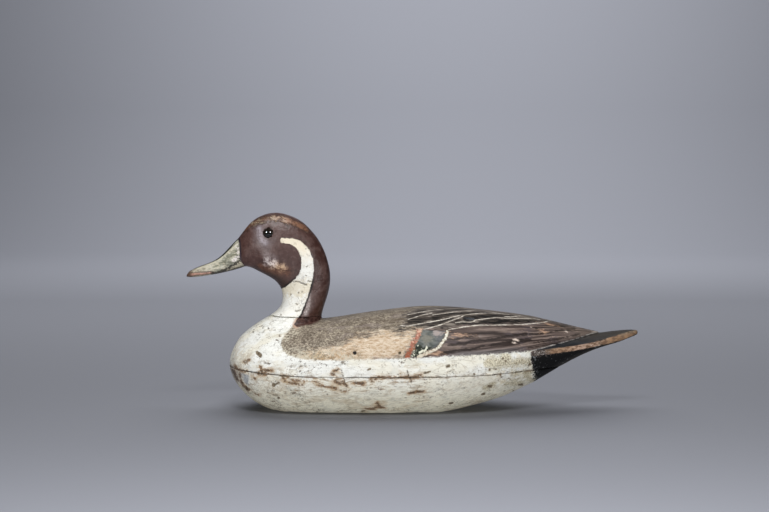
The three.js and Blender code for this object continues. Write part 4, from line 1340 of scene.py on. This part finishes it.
bill_coat.stain(rim_off.rise(1.6, 0.6) * near_tip * 0.9, (0.45, 0.25, 0.19))
chalk = (skull.field("bill_chalk") + (chalky - 0.5) * 11 + fine * 4).rise(-0.7, 1)
bill_coat.stain(chalk * 0.8, (0.78, 0.71, 0.69))
# Painted shadow: a near-black line along the underside of the bill.
underside_shadow = (skull.field("bill_underside") + (chalky - 0.5) * 7 + fine * 3).rise(2.3, 1)
bill_coat.stain(underside_shadow * 0.9, (0.014, 0.012, 0.008))
nail = (skull.along + (chalky - 0.5) * 4).rise(-215.5, -219)
bill_coat.stain(nail * 0.85, (0.10, 0.055, 0.035))
mouth = (skull.field("mouth") + fine * 4 + (chalky - 0.5) * 7).rise(1.7, 0.7)
bill_coat.stain(mouth * 0.9, (0.014, 0.011, 0.008))
on_bill = (skull.field("bill") + fine * 0.8).rise(-0.25, 0.25)
coat.lay(on_bill, bill_coat)
cut = ((skull.field("bill") + 0.4).size() + fine * 1.2).rise(1.3, 0.5)
cut = cut * (0.3 + skull.up.rise(145, 150) * 0.7)
coat.stain(cut * 0.9, (0.030, 0.018, 0.030))
coat.relief = coat.relief - cut * 0.4
head_finish = skull.finish_with(coat)
print("head finish has", len(skull.tree.nodes), "nodes")

# %% [markdown]
# ## Glass eyes
# A decoy's eye is a glass dome on a wire, black or dark brown, pressed into a
# putty-filled socket. A sphere in the socket gives the dome. The dark colour
# sits behind clear glass, which a smooth coat over a dark base shows well
# enough at this size, and more surely than real refraction would.

# %% Make the eyes
PUPIL_EDGE = (2.7, 3.0)  # mm from its middle, where the black ends and where the brown is full
BEHIND = 9  # mm, so that the back of the glass never counts as pupil


def glass_eye(name, side):
    place = (EYE_PLACE[0], side * EYE_PLACE[1], EYE_PLACE[2])
    bpy.ops.mesh.primitive_uv_sphere_add(segments=48, ring_count=24, radius=EYE_RADIUS, location=place,
                                         rotation=(radians(90), 0, 0))
    eye = bpy.context.object
    eye.name = name
    bpy.ops.object.transform_apply(location=True, rotation=True, scale=True)
    bpy.ops.object.shade_smooth()
    centre = np.array(place) / MM
    offset = points_of(eye) - centre
    keep_field(eye, "from_pupil", np.hypot(offset[:, 0], offset[:, 2])
               + np.where(offset[:, 1] * side < 0, BEHIND, 0))
    return eye


eyes = {"eye_left": glass_eye("glass_eye_left", -1), "eye_right": glass_eye("glass_eye_right", 1)}
glass = Finish("dark_eye_glass")
ring = glass.field("from_pupil").rise(*PUPIL_EDGE)
iris = glass.mix(ring, (0.001, 0.001, 0.001), (0.008, 0.005, 0.003))
glass.set_shader({"Base Color": iris, "Roughness": 0.03, "Specular IOR Level": 1.0})
print("eyes made")

# %% [markdown]
# ## Putting it together
# Every dressed piece takes its finish, rides on the decoy's one body, and
# hides the solid that it replaces.

# %% Dress the decoy
dressed = [
    (body_lower, "body_lower", "white_paint", hull_finish),
    (body_upper, "body_upper", "feather_paint", feather_finish),
    (head, "head_and_neck", "head_paint", head_finish),
    (eyes["eye_left"], "eye_left", "eye_glass", glass.material),
    (eyes["eye_right"], "eye_right", "eye_glass", glass.material),
]
for piece, node, slot, material in dressed:
    piece.data.materials.append(material)
    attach(piece, "root")
    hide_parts(node)
print("dressed", len(dressed), "pieces")

# %% [markdown]
# ## The studio
# A plain pale sweep of paper runs under the decoy and curves up behind it, so
# that no horizon shows. It reaches back far enough for the decoy to be seen
# from behind as well. A product studio keeps its lights apart with black
# cards, and light linking does the same here: each light is told what it may
# fall on. Three soft lights and the glow of the paper below shape the wood,
# two small ones put the bright points in the eyes, and three more light the
# paper: one from the rear, one that hangs in front, and one for the backdrop.
# The power of each can then be set by itself until its tone is right.

# %% Build the sweep
SWEEP_HALF_WIDTH = 4.0
SWEEP_FRONT = -3.0
SWEEP_BACK = 2.8
SWEEP_HEIGHT = 3.0
SWEEP_BEND = 0.9
NEARLY = 0.01


def select_far_edge(paper):
    """Selects the edge where the floor of the paper ends, in edit mode."""
    bpy.ops.mesh.select_all(action="DESELECT")
    bpy.ops.object.mode_set(mode="OBJECT")
    for line in paper.data.edges:
        ends = [paper.data.vertices[end].co for end in line.vertices]
        line.select = all(end.y > SWEEP_BACK - NEARLY and end.z < NEARLY for end in ends)
    bpy.ops.object.mode_set(mode="EDIT")


bpy.ops.mesh.primitive_plane_add(size=1, location=(0, 0, 0))
sweep = bpy.context.object
sweep.name = "paper_sweep"
sweep.scale = (SWEEP_HALF_WIDTH * 2, SWEEP_BACK - SWEEP_FRONT, 1)
sweep.location = (0, (SWEEP_BACK + SWEEP_FRONT) / 2, 0)
bpy.ops.object.transform_apply(location=True, rotation=True, scale=True)
bpy.ops.object.mode_set(mode="EDIT")
bpy.ops.mesh.select_mode(type="EDGE")
select_far_edge(sweep)
bpy.ops.mesh.extrude_region_move(TRANSFORM_OT_translate={"value": (0, 0, SWEEP_HEIGHT)})
select_far_edge(sweep)
bpy.ops.mesh.bevel(offset=SWEEP_BEND, segments=16)
bpy.ops.object.mode_set(mode="OBJECT")
bpy.ops.object.shade_smooth()
paper = Finish("pale_paper")
paper.set_shader({"Base Color": (0.265, 0.274, 0.311), "Roughness": 0.8, "Specular IOR Level": 0.1})
sweep.data.materials.append(paper.material)
print("sweep has", len(sweep.data.polygons), "faces")


# %% Hang the lights
AIM = Vector((0, 0, 0.09))
GLOW = ("paper_glow", 0, -25, 1.6, 0.9,
        10)  # turn and rise in degrees, distance and size in metres, power in watts
WOOD_LIGHTS = [
    ("key_light", -25, 15, 1.9, 0.5, 8.4), ("fill_light", 37, 14, 1.9, 0.4, 6.8),
    ("top_light", -15, 68, 1.6, 1.2, 26.5),
]
EYE_LIGHTS = [("catch_light_left", -44, 30, 1.7, 0.3, 32), ("catch_light_right", 46, 31, 1.7, 0.3, 28)]
REAR_LIGHT = ("rear_light", 0, 125, 1.6, 2.0, 30)
AIR_COLOUR = (0.84, 0.88, 1.0, 1)
AIR_STRENGTH = 0.015


def area_light(name, place, turned, size, power, spread=180):
    """A square light at a place; the spread of its cone is in degrees."""
    bpy.ops.object.light_add(type="AREA", location=place, rotation=turned)
    light = bpy.context.object
    light.name = name
    light.data.size = size
    light.data.energy = power
    light.data.spread = radians(spread)
    return light


def soft_light(name, turn, rise, distance, size, power):
    """A light that faces the decoy, turned from the camera's side and raised, in degrees."""
    place = Vector((0, -distance, 0))
    place.rotate(Euler((-radians(rise), 0, 0)))
    place.rotate(Euler((0, 0, radians(turn))))
    return area_light(name, AIM + place, (-place).to_track_quat("-Z", "Y").to_euler(), size, power)


def keep_to(pieces, name, lights):
    """Lets some lights fall on some pieces only, as black cards do in a studio."""
    lit = bpy.data.collections.new(name)
    for piece in pieces:
        lit.objects.link(piece)
    for light in lights:
        light.light_linking.receiver_collection = lit
    return lit


paper_glow = soft_light(*GLOW)
lit_wood = keep_to([body_lower, body_upper, head], "lit_wood",
                   [paper_glow] + [soft_light(*light) for light in WOOD_LIGHTS])
paper_glow.light_linking.blocker_collection = lit_wood  # it shines up through the paper
catch_lights = [soft_light(*light) for light in EYE_LIGHTS]
lit_eyes = keep_to([eyes["eye_left"], eyes["eye_right"]], "lit_eyes", catch_lights)
for light in catch_lights:
    light.light_linking.blocker_collection = lit_eyes
keep_to([sweep], "lit_paper", [
    soft_light(*REAR_LIGHT),
    area_light("front_light", (0, -1.1, 1.1), (0, 0, 0), 0.5, 9.5, 108),
    area_light("backdrop_light", (0.12, 1.75, 1.35), (radians(63), 0, 0), 1.1, 28),
])
world = bpy.data.worlds.new("studio_air")
world.use_nodes = True
world.node_tree.nodes["Background"].inputs["Color"].default_value = AIR_COLOUR
world.node_tree.nodes["Background"].inputs["Strength"].default_value = AIR_STRENGTH
bpy.context.scene.world = world
bpy.context.scene.view_settings.view_transform = "Standard"
print("lights hung")
